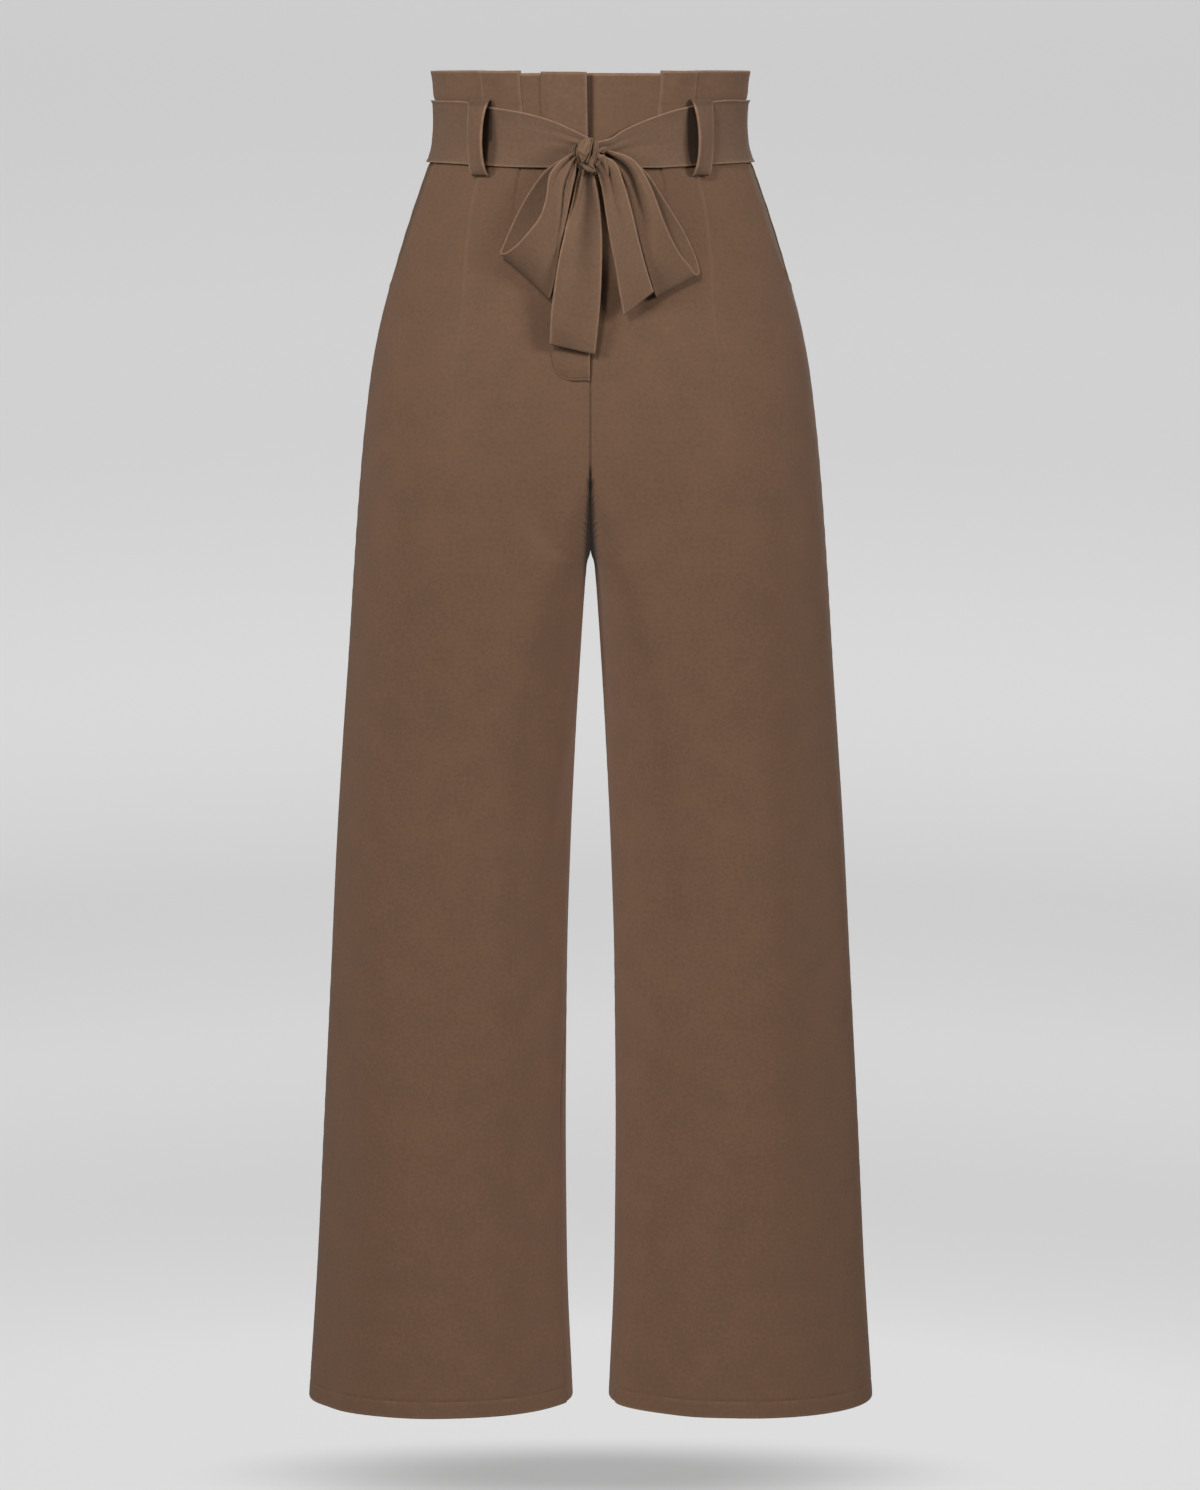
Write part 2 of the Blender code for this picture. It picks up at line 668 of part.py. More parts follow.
def make_ribbon(name, edges, stations, collection):
    """A strip of belt between two edge curves, doubled cloth with its wall set about the middle."""
    outer, inner = (smooth_path(edges[edge], stations) for edge in ("outer", "inner"))
    across = np.linspace(0, 1, RIBBON_STRIPS + 1)[:, None]
    middle = np.array([start + (end - start) * across for start, end in zip(outer, inner)])
    half = unit(np.cross(np.gradient(middle, axis=1), np.gradient(middle, axis=0))) * BELT_WALL / 2
    return cloth_wall(name, middle + half, middle - half, collection)


def make_knot(collection):
    """The knot, a squarish ball with the belt's wraps as slanting ridges."""
    shape = bmesh.new()
    bmesh.ops.create_uvsphere(shape, u_segments=KNOT_SEGMENTS, v_segments=KNOT_RINGS, radius=1)
    for vertex in shape.verts:
        x, y, z = vertex.co
        square = sum(abs(value) ** KNOT_SQUARENESS for value in vertex.co)
        size = square ** (-1 / KNOT_SQUARENESS)
        wrap = math.cos(KNOT_WRAP_TURNS * (math.atan2(y, x) + KNOT_WRAP_SLANT * z))
        size *= 1 - KNOT_WRAP_DEPTH * (1 - z * z) * (0.5 + 0.5 * wrap)
        place = zip((x, y, z), KNOT_HALF_SIZE, KNOT_CENTRE)
        vertex.co = [(value * size * half + centre) * MM for value, half, centre in place]
    return make_object("knot", shape, collection)


def clear_scene():
    for old in list(bpy.data.objects):
        bpy.data.objects.remove(old, do_unlink=True)


def main():
    clear_scene()
    trousers = bpy.data.collections.new("paperbag_trousers")
    bpy.context.scene.collection.children.link(trousers)
    for side in SIDES:
        for facing in FACINGS:
            make_panel(facing, side, trousers)
            make_carrier(facing, side, trousers)
        make_pocket(side, trousers)
    make_fly(trousers)
    make_belt(trousers)
    make_knot(trousers)
    for side in SIDES:
        make_ribbon(f"bow_loop_{side}", BOW_LOOPS[side], BOW_LOOP_STATIONS, trousers)
        make_ribbon(f"tail_{side}", TAILS[side], TAIL_STATIONS, trousers)


main()
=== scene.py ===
"""Looks of a pair of paperbag waist trousers with a tied belt, filled out as if they were worn.

Z is up and the wearer faces -Y. The origin is the centre of the waist, at the middle of the belt.
Left and right are the wearer's, so left is +X. The studio is in metres. The garment's sizes are in
millimetres, and MM turns them into metres where a mesh or a material is made.
"""

import functools
import math

import bmesh
import bpy
import numpy as np
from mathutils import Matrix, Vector


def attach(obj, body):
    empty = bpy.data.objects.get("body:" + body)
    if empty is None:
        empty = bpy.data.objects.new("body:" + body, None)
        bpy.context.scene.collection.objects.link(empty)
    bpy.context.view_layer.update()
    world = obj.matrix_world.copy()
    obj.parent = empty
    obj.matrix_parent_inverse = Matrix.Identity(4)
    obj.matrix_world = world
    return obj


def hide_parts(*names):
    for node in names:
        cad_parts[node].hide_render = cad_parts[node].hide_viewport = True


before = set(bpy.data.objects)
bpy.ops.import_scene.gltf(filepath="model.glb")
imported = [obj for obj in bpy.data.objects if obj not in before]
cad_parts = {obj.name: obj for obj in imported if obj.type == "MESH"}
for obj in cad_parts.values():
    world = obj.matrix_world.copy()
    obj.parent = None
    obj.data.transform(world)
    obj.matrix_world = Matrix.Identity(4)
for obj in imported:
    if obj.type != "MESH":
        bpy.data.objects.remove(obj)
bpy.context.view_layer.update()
scene = bpy.context.scene

# The camera: a long lens from the front, a little above the knee, tilted down to take in the floor.
CAMERA_PLACE = (0.00745, -5.07, 0.074)
CAMERA_TILT_DOWN = math.radians(6.3006)
CAMERA_LENS = 154.825


def add_object(name, data):
    """An object of a mesh, lamp or camera, in the scene."""
    added = bpy.data.objects.new(name, data)
    scene.collection.objects.link(added)
    return added


camera = add_object("camera", bpy.data.cameras.new("camera"))
camera.data.lens = CAMERA_LENS
camera.location = CAMERA_PLACE
camera.rotation_euler = (math.pi / 2 - CAMERA_TILT_DOWN, 0, 0)
scene.camera = camera

# The studio: a pale floor that curves up into a round wall, large soft lamps in front and overhead,
# and an even pale surround. The wall is seen only from inside, so any side of the trousers can be viewed.
FLOOR_HEIGHT = -1.080
FLOOR_RADIUS = 0.60
COVE_RADIUS = 0.36
WALL_TOP = 1.6
COVE_STEPS = 16
STAGE_SEGMENTS = 96
STAGE_COLOUR = (0.32, 0.32, 0.32)
STAGE_ROUGHNESS = 0.95
STAGE_SPECULAR = 0.1
# How much the paper glows: height and grey.
STAGE_GLOW = (
    (-1.08, 0.33),
    (-1.02, 0.33),
    (-0.84, 0.44),
    (-0.55, 0.53),
    (-0.26, 0.45),
    (0.08, 0.38),
    (0.5, 0.33),
)
# The soft shade on the floor under the hems: its depth, middle and reaches, and the share it fades over.
FLOOR_SHADE = 0.42
FLOOR_SHADE_PLACE = (0.0, 0.02, FLOOR_HEIGHT)
FLOOR_SHADE_SIZE = (0.35, 0.138, 1.0)
FLOOR_SHADE_SOFTNESS = 0.8
SURROUND_COLOUR = (0.70, 0.70, 0.70, 1)
SURROUND_SEEN = 0.93
SURROUND_LIGHT = 0.18
# The lamps: name, place, aim, size and power.
LAMPS = (
    ("key", (-1.5, -3.3, 2.3), (0, 0, -0.2), 1.0, 79),
    ("right_fill", (3.3, -2.15, 1.1), (0, 0, -0.4), 1.2, 100),
    ("left_fill", (-3.3, -2.15, 1.1), (0, 0, -0.4), 1.2, 79),
    ("overhead", (0.0, -0.2, 1.9), (0, 0, -1.0), 3.2, 103),
    ("back_fill", (0.8, 4.6, 1.0), (0, 0, -0.45), 3.0, 110),
)

scene.view_settings.view_transform = "Standard"
scene.view_settings.look = "None"


def set_inputs(tree, node, inputs):
    """Sets each input of a node to a value, or links it to an output."""
    for name, value in inputs.items():
        if isinstance(value, bpy.types.NodeSocket):
            tree.links.new(value, node.inputs[name])
        else:
            node.inputs[name].default_value = value
    return node


def add_node(tree, kind, inputs=None, **settings):
    """A new node with its settings and inputs."""
    node = tree.nodes.new(kind)
    for name, value in settings.items():
        setattr(node, name, value)
    return set_inputs(tree, node, inputs or {})


def new_material(name):
    """A material of one Principled shader, and its node tree."""
    material = bpy.data.materials.new(name)
    material.use_nodes = True
    return material, material.node_tree


def make_surround():
    """An even surround that lights the cloth a little and is seen as pale grey."""
    world = bpy.data.worlds.new("studio_surround")
    world.use_nodes = True
    scene.world = world
    tree = world.node_tree
    seen = add_node(tree, "ShaderNodeLightPath").outputs["Is Camera Ray"]
    range_of = {"Value": seen, "To Min": SURROUND_LIGHT, "To Max": SURROUND_SEEN}
    strength = add_node(tree, "ShaderNodeMapRange", range_of).outputs["Result"]
    set_inputs(tree, tree.nodes["Background"], {"Color": SURROUND_COLOUR, "Strength": strength})


def make_lamp(name, place, aim, size, power):
    """A round soft lamp at a place, turned to its aim."""
    lamp = bpy.data.lights.new(name, "AREA")
    lamp.shape = "DISK"
    lamp.size = size
    lamp.energy = power
    holder = add_object(name, lamp)
    holder.location = place
    way = Vector(aim) - Vector(place)
    holder.rotation_euler = way.to_track_quat("-Z", "Y").to_euler()
    return holder


def stage_material():
    """Matt paper that glows a little, is dim under the hems and can't be seen from behind."""
    material, tree = new_material("studio_paper")
    place = add_node(tree, "ShaderNodeTexCoord").outputs["Object"]
    parts = add_node(tree, "ShaderNodeSeparateXYZ", {0: place})
    lowest, highest = STAGE_GLOW[0][0], STAGE_GLOW[-1][0]
    range_of = {"Value": parts.outputs["Z"], "From Min": lowest, "From Max": highest}
    rise = add_node(tree, "ShaderNodeMapRange", range_of)
    glow = add_node(tree, "ShaderNodeValToRGB", {"Fac": rise.outputs["Result"]})
    glow.color_ramp.interpolation = "EASE"
    stops = glow.color_ramp.elements
    while len(stops) < len(STAGE_GLOW):
        stops.new(0.5)
    for stop, (height, grey) in zip(stops, STAGE_GLOW):
        stop.position = (height - lowest) / (highest - lowest)
        stop.color = (grey, grey, grey, 1)

    where = {"Vector": place, "Location": FLOOR_SHADE_PLACE, "Scale": FLOOR_SHADE_SIZE}
    under = add_node(tree, "ShaderNodeMapping", where, vector_type="TEXTURE").outputs["Vector"]
    spot = add_node(tree, "ShaderNodeTexGradient", {"Vector": under}, gradient_type="SPHERICAL")
    range_of = {"Value": spot.outputs["Fac"], "From Max": FLOOR_SHADE_SOFTNESS}
    range_of.update({"To Min": 1, "To Max": 1 - FLOOR_SHADE})
    dim = add_node(tree, "ShaderNodeMapRange", range_of, interpolation_type="SMOOTHSTEP").outputs["Result"]
    paper = add_node(tree, "ShaderNodeVectorMath", {0: STAGE_COLOUR, "Scale": dim}, operation="SCALE")

    looks = {
        "Base Color": paper.outputs["Vector"],
        "Roughness": STAGE_ROUGHNESS,
        "Specular IOR Level": STAGE_SPECULAR,
        "Emission Color": glow.outputs["Color"],
        "Emission Strength": dim,
    }
    shader = set_inputs(tree, tree.nodes["Principled BSDF"], looks).outputs["BSDF"]
    clear = add_node(tree, "ShaderNodeBsdfTransparent").outputs["BSDF"]
    behind = add_node(tree, "ShaderNodeNewGeometry").outputs["Backfacing"]
    shown = add_node(tree, "ShaderNodeMixShader", {"Fac": behind, 1: shader, 2: clear}).outputs["Shader"]
    set_inputs(tree, tree.nodes["Material Output"], {"Surface": shown})
    return material


def join_rings(shape, rings):
    """Faces from each ring of points to the next."""
    for near, far in zip(rings, rings[1:]):
        for here in range(len(near)):
            after = (here + 1) % len(near)
            shape.faces.new((near[here], far[here], far[after], near[after]))


def make_stage():
    """The floor, its cove and the wall, turned round the trousers."""
    profile = [(FLOOR_RADIUS / 2, FLOOR_HEIGHT)]
    for step in range(COVE_STEPS + 1):
        turn = math.pi / 2 * step / COVE_STEPS
        out = FLOOR_RADIUS + COVE_RADIUS * math.sin(turn)
        profile.append((out, FLOOR_HEIGHT + COVE_RADIUS * (1 - math.cos(turn))))
    profile.append((FLOOR_RADIUS + COVE_RADIUS, WALL_TOP))
    turns = [2 * math.pi * segment / STAGE_SEGMENTS for segment in range(STAGE_SEGMENTS)]
    shape = bmesh.new()
    centre = shape.verts.new((0, 0, FLOOR_HEIGHT))
    rings = []
    for radius, height in profile:
        ring = [(radius * math.cos(turn), radius * math.sin(turn), height) for turn in turns]
        rings.append([shape.verts.new(point) for point in ring])
    for first, second in zip(rings[0], rings[0][1:] + rings[0][:1]):
        shape.faces.new((centre, first, second))
    join_rings(shape, rings)
    mesh = bpy.data.meshes.new("studio_stage")
    shape.to_mesh(mesh)
    shape.free()
    mesh.materials.append(stage_material())
    mesh.shade_smooth()
    stage = add_object("studio_stage", mesh)
    stage.visible_diffuse = False
    stage.visible_glossy = False
    stage.visible_shadow = False


make_surround()
for lamp_row in LAMPS:
    make_lamp(*lamp_row)
make_stage()

# The legs: two fronts and two backs, each cut in one piece of brown crepe from the paperbag edge to the hem,
# with one box pleat at the waist. The edge and the hem are turned in, and plain seams join the panels.
MM = 0.001
SIDES = {"left": 1, "right": -1}
FACINGS = {"front": -1, "back": 1}
OTHER_FACING = {"front": "back", "back": "front"}
PANEL_WALL = 0.6 * MM
EDGE_WALL = 1.8 * MM
HEM_WALL = 2.0 * MM
SEAM_GAP = 0.1
INSEAM_LEVEL = 0.2
EDGE_TURN = (12, 6)

# The form of the body: half sections from the side seam to the centre seam or inseam.
BODY_COLUMNS = ("height", "half_width", "half_gap", "front_depth", "back_depth", "outer_crest", "inner_crest")
BODY = (
    (50, 126.4, 0, 87.4, 91.4, 0, 0),
    (37, 124.3, 0, 85.6, 89.6, 0, 0),
    (27, 123.4, 0, 84.3, 88.4, 0, 0),
    (22, 121.0, 0, 83.5, 86.0, 0, 0),
    (8, 120.4, 0, 81.8, 85.4, 0, 0),
    (-8, 121.4, 0, 81.6, 86.0, 0, 0),
    (-20, 124.4, 0, 82.4, 88.0, 0, 0),
    (-27, 128.4, 0, 83.9, 91.0, 0, 0),
    (-38, 132.2, 0, 87.2, 94.8, 2, 0),
    (-53, 137.5, 0, 90.6, 98.6, 4, 0),
    (-70, 143.2, 0, 93.4, 102.6, 8, 0),
    (-88, 148.9, 0, 96.2, 106.6, 14, 0),
    (-123, 159.0, 0, 101.0, 113.6, 30, 0),
    (-150, 166.0, 0, 104.0, 118.4, 44, 0),
    (-185, 172.8, 0, 106.8, 123.4, 62, 2),
    (-220, 177.3, 0, 108.2, 126.6, 76, 8),
    (-250, 180.5, 0, 108.6, 127.0, 85, 16),
    (-330, 186.8, 0, 106.6, 122.0, 97, 42),
    (-338, 187.3, 2.4, 106.3, 121.2, 98, 44),
    (-354, 188.4, 4.0, 105.6, 119.4, 98.5, 50),
    (-380, 190.0, 5.9, 104.2, 116.4, 99, 58),
    (-420, 192.5, 8.5, 102.0, 111.8, 101, 70),
    (-480, 196.6, 11.9, 99.6, 106.0, 104, 86),
    (-560, 201.8, 15.7, 97.4, 100.6, 109, 102),
    (-660, 206.9, 18.8, 96.0, 97.2, 113, 111),
    (-790, 213.6, 19.9, 95.2, 95.2, 116.7, 116.7),
    (-900, 219.2, 18.9, 95.4, 95.4, 119, 119),
    (-1011, 226.6, 14.4, 96.0, 96.0, 120.5, 120.5),
)
SECTION_ROUNDNESS = 2.12
CROTCH_ROUNDNESS = 2.5
CROTCH_ROUNDNESS_END = -560
CROTCH_HEIGHT = -330
CROTCH_DEPTH = 15
CROTCH_SOFT_END = -430
CROTCH_SHARPNESS = 3
INSEAM_STRAIGHT_HEIGHT = -650
SEAM_BEND_HEIGHT = {"front": -250, "back": -200}
SECTION_STEPS = 200

# The rows: the edge, the belt's height, the torso, the crotch and the legs. Columns are shares of the half
# section, given at three heights, with the pleat's folds between them.
HEM_HEIGHT = -1011
HEM_STITCH_HEIGHT = -997.5
RAISED_TOP = 47.9
RECESSED_TOP = 45.6
EDGE_ROWS = (0, 0.35, 0.7, 1.05, 1.6, 2.6, 4.4, 7, 10, 13, 16, 19, 22, 25)
BELT_ROWS = (18, 13, 8, 3, -3, -8, -14, -18, -20, -21.5, -24, -27, -30)
TORSO_ROW_STEP = 3.9
CROTCH_ROWS = 26
FORK_TOP = -250
FORK_BOTTOM = -420
BELOW_CROTCH_ROWS = (-332, -335, -339, -344, -350, -357, -365, -374, -384, -395, -407)
LEG_ROW_STEP = 9
HEM_ROWS = (11.6, 7, 3.4, 1.6, 0.7, 0, -0.7, -1.6, -4, -7.5, -10.5, -12, -12.7, -13.1, -13.3, -13.5)
COLUMNS = {
    "torso": (0, 0.11, 0.22, 0.33, None, None, None, None, None, 0.75, 0.83, 0.90, 0.95, 1),
    "crotch": (0, 0.10, 0.19, 0.28, 0.36, 0.43, 0.50, 0.56, 0.61, 0.66, 0.72, 0.79, 0.885, 1),
    "leg": (0, 0.08, 0.16, 0.24, 0.32, 0.40, 0.48, 0.56, 0.64, 0.71, 0.78, 0.85, 0.925, 1),
}
COLUMN_HEIGHTS = {"torso": -150, "crotch": -320, "leg": -560}
FORK_COLUMNS = (5, 13)
HELD_COLUMN = 8
PLEAT_COLUMNS = slice(4, 9)

# The fine columns, placed among the main ones: close together at both seams and round the pleat's two tucks.
SEAM_COLUMNS = (0, 0.08, 0.18, 0.26, 0.34, 0.43, 0.55, 0.7, 0.85)
COLUMN_PARTS = 6
FIRST_FREE_COLUMN = 1
TUCK_COLUMNS = (4, 5.5)
PLEAT_MIDDLE = 6
BAND_REACH = 0.6
LAST_COLUMN = 13

# The box pleats. A tuck is the path of the cloth's face round a folded edge: along the body from the edge,
# out from the body, and how much of the layer reaches the raised top edge.
PLEAT_FOLD_RUN = 0.032
PLEAT_INNER_SHARE = 0.672
PLEAT_OUTER_SHARE = {
    ("front", "left"): 0.496,
    ("front", "right"): 0.476,
    ("back", "left"): 0.48,
    ("back", "right"): 0.48,
}
PLEAT_DRIFT = 0.06
PLEAT_DRIFT_HEIGHTS = (-40, -165)
TUCK = (
    (-5.0, 0.0, 0),
    (-2.0, 0.0, 0),
    (0.8, 0.0, 0),
    (2.4, 0.0, 0),
    (2.9, 0.04, 0.3),
    (2.4, 0.1, 0.7),
    (1.2, 0.12, 1),
    (0.2, 0.15, 1),
    (-0.4, 0.3, 1),
    (-0.55, 0.6, 1),
    (-0.35, 0.95, 1),
    (0.3, 1.18, 1),
    (2.6, 1.25, 1),
    (6.5, 1.25, 1),
)
TUCK_FOLD = (8, 11)
BAND_PUFF = 0.8
BAND_PUFF_HEIGHTS = (24, 44)
BAND_COLUMNS = 12
PLEAT_FOLDED_HEIGHT = -19
TUCK_OPEN_HEIGHT = -31
PLEAT_INNER_END = -92
PLEAT_OUTER_END = -235
PRESSED_STEP = 1.1
PRESSED_RIDGE = 0.3
PRESSED_WIDTH = 1.3
PRESSED_FAR_SIDE = (46, 10)

# The slanted pocket mouth: how far it lies from the side seam along the cloth.
POCKET_MOUTH_COLUMNS = ("height", "from_side_seam")
POCKET_MOUTH = ((-21.5, 24), (-53, 27), (-80, 28), (-98, 26), (-112, 17), (-123, 0))
POCKET_MOUTH_SHARES = (0.035, 0.09)
POCKET_BOTTOM = -150

# The back panel reaches round to the front below the knee, so the inseam shows inside the leg's outline.
INSEAM_FORWARD_COLUMNS = ("height", "forward")
INSEAM_FORWARD = (
    (-620, 0),
    (-690, 8),
    (-730, 20),
    (-770, 29),
    (-853, 35),
    (-934, 37),
    (-990, 36),
    (-1011, 33),
)

# Seams pull the cloth in along their line and pucker it in waves that drift and swell. The pocket mouth and
# the hem's stitch line have a relief of their own.
SEAM_PINCH = 0.75
SEAM_PINCH_WIDTH = 1.9
SEAM_PUCKER = 0.16
SEAM_PUCKER_WIDTH = 7
SEAM_PUCKER_STEP = 17
SEAM_PUCKER_DRIFT = 1.7
SEAM_PUCKER_DRIFT_STEP = 41
SEAM_PUCKER_SWELL = 0.4
SEAM_PUCKER_SWELL_STEP = 67
MOUTH_ROLL = 0.7
MOUTH_ROLL_WIDTH = 2.2
MOUTH_ROLL_FADE = 5
MOUTH_SINK = 0.1
HEM_GROOVE = 0.28
HEM_GROOVE_WIDTH = 0.9
HEM_PUCKERS = ((0.5, 3.1), (0.4, 7.3))

# Soft folds of the hanging cloth: the top end's share of the half section and height, the same of the bottom
# end, half width and depth.
FOLDS = {
    "front_right": (
        (0.90, -430, 0.80, -740, 24, -3.2),
        (0.60, -470, 0.66, -900, 26, 2.6),
        (0.38, -300, 0.40, -830, 30, -2.2),
        (0.22, -560, 0.16, -1011, 18, -2.6),
        (0.10, -300, 0.09, -800, 16, 1.6),
        (0.74, -560, 0.77, -1005, 20, -1.8),
        (0.88, -760, 0.90, -1011, 16, 1.6),
        (0.48, -760, 0.45, -1011, 24, 1.6),
        (0.55, -60, 0.62, -240, 13, -1.0),
        (0.30, -90, 0.27, -290, 18, 1.0),
        (0.80, -120, 0.74, -300, 15, -0.9),
        (0.955, -330, 0.86, -470, 11, -1.6),
        (0.86, -245, 0.70, -340, 12, -1.2),
    ),
    "front_left": (
        (0.84, -400, 0.62, -720, 26, -3.0),
        (0.42, -420, 0.47, -940, 28, 2.4),
        (0.26, -330, 0.30, -900, 24, -2.6),
        (0.64, -660, 0.70, -1011, 22, -2.2),
        (0.12, -420, 0.10, -1000, 17, 1.8),
        (0.84, -600, 0.86, -1011, 18, 1.8),
        (0.52, -820, 0.54, -1011, 18, -1.4),
        (0.36, -80, 0.34, -300, 16, 0.9),
        (0.58, -70, 0.64, -260, 14, -1.0),
        (0.82, -150, 0.77, -310, 13, 0.8),
        (0.95, -335, 0.84, -480, 11, -1.5),
        (0.85, -235, 0.68, -330, 12, -1.1),
    ),
    "back_right": (
        (0.86, -360, 0.72, -760, 26, -3.4),
        (0.58, -420, 0.61, -930, 27, 2.6),
        (0.34, -330, 0.36, -860, 28, -2.4),
        (0.16, -520, 0.18, -1011, 20, 2.0),
        (0.78, -640, 0.81, -1011, 19, 2.0),
        (0.47, -740, 0.45, -1011, 20, -1.8),
        (0.60, -60, 0.66, -230, 14, -1.1),
        (0.36, -70, 0.31, -260, 16, 1.0),
        (0.93, -250, 0.76, -330, 13, -1.7),
        (0.95, -320, 0.82, -450, 12, -1.9),
    ),
    "back_left": (
        (0.88, -380, 0.69, -720, 25, -3.1),
        (0.55, -380, 0.57, -900, 30, 2.8),
        (0.31, -300, 0.28, -800, 26, -2.2),
        (0.14, -600, 0.15, -1011, 18, 1.8),
        (0.76, -700, 0.79, -1011, 20, 2.2),
        (0.42, -690, 0.44, -1011, 21, -2.0),
        (0.58, -70, 0.62, -250, 15, -1.0),
        (0.34, -60, 0.32, -240, 14, 1.1),
        (0.94, -240, 0.79, -320, 12, -1.6),
        (0.94, -325, 0.80, -470, 12, -1.7),
    ),
}
FOLD_TAPER = 0.38
FOLD_SWAY = 0.012
FOLD_SWAY_TURN = 5
FOLD_SWAY_START = 0.7

# The crepe's browns, linear red, green and blue: the ground, its darker drifts, and a lighter brown for
# painted highlights and rubbing.
CREPE_COLOUR = (0.178, 0.0946, 0.0553, 1)
CREPE_DARK = (0.140, 0.0806, 0.0485, 1)
CREPE_LIT_AND_WORN = (0.315, 0.192, 0.1240, 1)
CREPE_PITCH = 0.75 * MM
CREPE_ROUGHNESS = 0.86
CREPE_SHEEN = 0.08
CREPE_SHEEN_ROUGHNESS = 0.5
CREPE_SPECULAR = 0.22
CREPE_BUMP = 0.35
CREPE_BUMP_DISTANCE = 0.12 * MM

# Its weave: noises as scale, detail and roughness, and how far each thread and drift counts.
WANDER_NOISE = (420, 2, 0.5)
PEBBLE_NOISE = (1500, 3, 0.6)
DRIFT_NOISE = (34, 3, 0.55)
MOTTLE_NOISE = (330, 2, 0.5)
LIT_AND_RUBBED_NOISE = (160, 2, 0.5)
WANDER = 3.2
TWILL_SLANT = 0.62
TWILL_HEIGHT = 0.22
WEFT_SLANT = -0.35
WEFT_COUNT = 1.3
WEFT_WANDER = 1.4
WEFT_HEIGHT = 0.13
PEBBLE_HEIGHT = 0.9
DRIFT_RANGE = (1.3, -0.15)
MOTTLE_RANGE = (2.0, -1.0)
LIT_AND_RUBBED_RANGE = (1.2, 0.1)
WEAVE_SHADE = 0.34
WEAVE_ROUGHNESS = 0.05


def smooth_curve(at, knots, values):
    """The value at a place, on a curve through the knots that never overshoots them."""
    slopes = np.diff(values) / np.diff(knots)
    before, after = slopes[:-1], slopes[1:]
    together = before * after > 0
    mean = np.where(together, 2 * before * after / np.where(together, before + after, 1), 0)
    tangents = np.concatenate([slopes[:1], mean, slopes[-1:]])
    place = int(np.clip(np.searchsorted(knots, at) - 1, 0, len(slopes) - 1))
    span = knots[place + 1] - knots[place]
    t = np.clip((at - knots[place]) / span, 0, 1)
    rise = values[place + 1] - values[place]
    start, end = tangents[place] * span, tangents[place + 1] * span
    return values[place] + start * t + (3 * rise - 2 * start - end) * t**2 + (start + end - 2 * rise) * t**3


def read_table(rows, columns, column, at):
    """One column of a table, read smoothly at a value of its first column."""
    table = np.array(sorted(rows), float)
    return smooth_curve(at, table[:, 0], table[:, columns.index(column)])


def ease(at, start, end):
    """0 at start, 1 at end and smooth between them."""
    t = np.clip((np.asarray(at, float) - start) / (end - start), 0, 1)
    return t * t * (3 - 2 * t)


def swell(away, width):
    """1 on a line, and softly down to 0 on both sides of it."""
    return np.exp(-((away / width) ** 2))


def rounded(share):
    """A quarter of a circle: 0 at 0, steep at first, and 1 from 1 on."""
    return np.sqrt(1 - (1 - np.clip(share, 0, 1)) ** 2)


def distances(points):
    """How far along a line of points each of them lies."""
    return np.append(0, np.cumsum(np.linalg.norm(np.diff(points, axis=0), axis=1)))


def seam_depth(height, facing, depth):
    """How far back the centre seam or inseam lies: down the panel, along the crotch, then down the leg."""
    if height < CROTCH_HEIGHT:
        return CROTCH_DEPTH * (1 - ease(height, CROTCH_HEIGHT, INSEAM_STRAIGHT_HEIGHT))
    bend = SEAM_BEND_HEIGHT[facing]
    along = np.clip((bend - height) / (bend - CROTCH_HEIGHT), 0, 1)
    return depth + (CROTCH_DEPTH - depth) * (1 - math.sqrt(1 - along**2))


def cloth_depth(height, facing, depth):
    """The same for the cloth beside the seam, which bends back more slowly and leaves a notch there."""
    end = CROTCH_DEPTH * (1 - ease(height, CROTCH_HEIGHT, INSEAM_STRAIGHT_HEIGHT))
    slow = depth + (end - depth) * ease(height, SEAM_BEND_HEIGHT[facing], CROTCH_SOFT_END)
    seam = seam_depth(height, facing, depth)
    return max(slow, seam) if FACINGS[facing] > 0 else min(slow, seam)


@functools.lru_cache(maxsize=None)
def half_section(height, facing):
    """Points of the left half section and their distances along it, from the side seam to the inner seam."""
    values = {name: read_table(BODY, BODY_COLUMNS, name, height) for name in BODY_COLUMNS[1:]}
    depth = values[facing + "_depth"] * FACINGS[facing]
    seam = seam_depth(height, facing, depth)
    turn = np.linspace(0, math.pi / 2, SECTION_STEPS)
    outer_power = 2 / SECTION_ROUNDNESS
    above, below = SEAM_BEND_HEIGHT["back"], CROTCH_ROUNDNESS_END
    crotch_share = ease(height, above, CROTCH_HEIGHT) * ease(height, below, CROTCH_HEIGHT)
    inner_power = 2 / (SECTION_ROUNDNESS + (CROTCH_ROUNDNESS - SECTION_ROUNDNESS) * crotch_share)
    outer, inner = values["outer_crest"], values["inner_crest"]
    outer_x = outer + (values["half_width"] - outer) * np.cos(turn) ** outer_power
    outer_y = depth * np.sin(turn) ** outer_power
    inner_x = inner - (inner - values["half_gap"]) * np.sin(turn) ** inner_power
    soft = cloth_depth(height, facing, depth)
    inner_y = soft + (depth - soft) * np.cos(turn) ** inner_power
    inner_y += (seam - soft) * (1 - np.cos(turn)) ** CROTCH_SHARPNESS
    points = np.column_stack([np.append(outer_x, inner_x), np.append(outer_y, inner_y)])
    return points, distances(points)


def section_length(height, facing):
    """How long the half section is, from the side seam to the inner seam."""
    return half_section(float(height), facing)[1][-1]


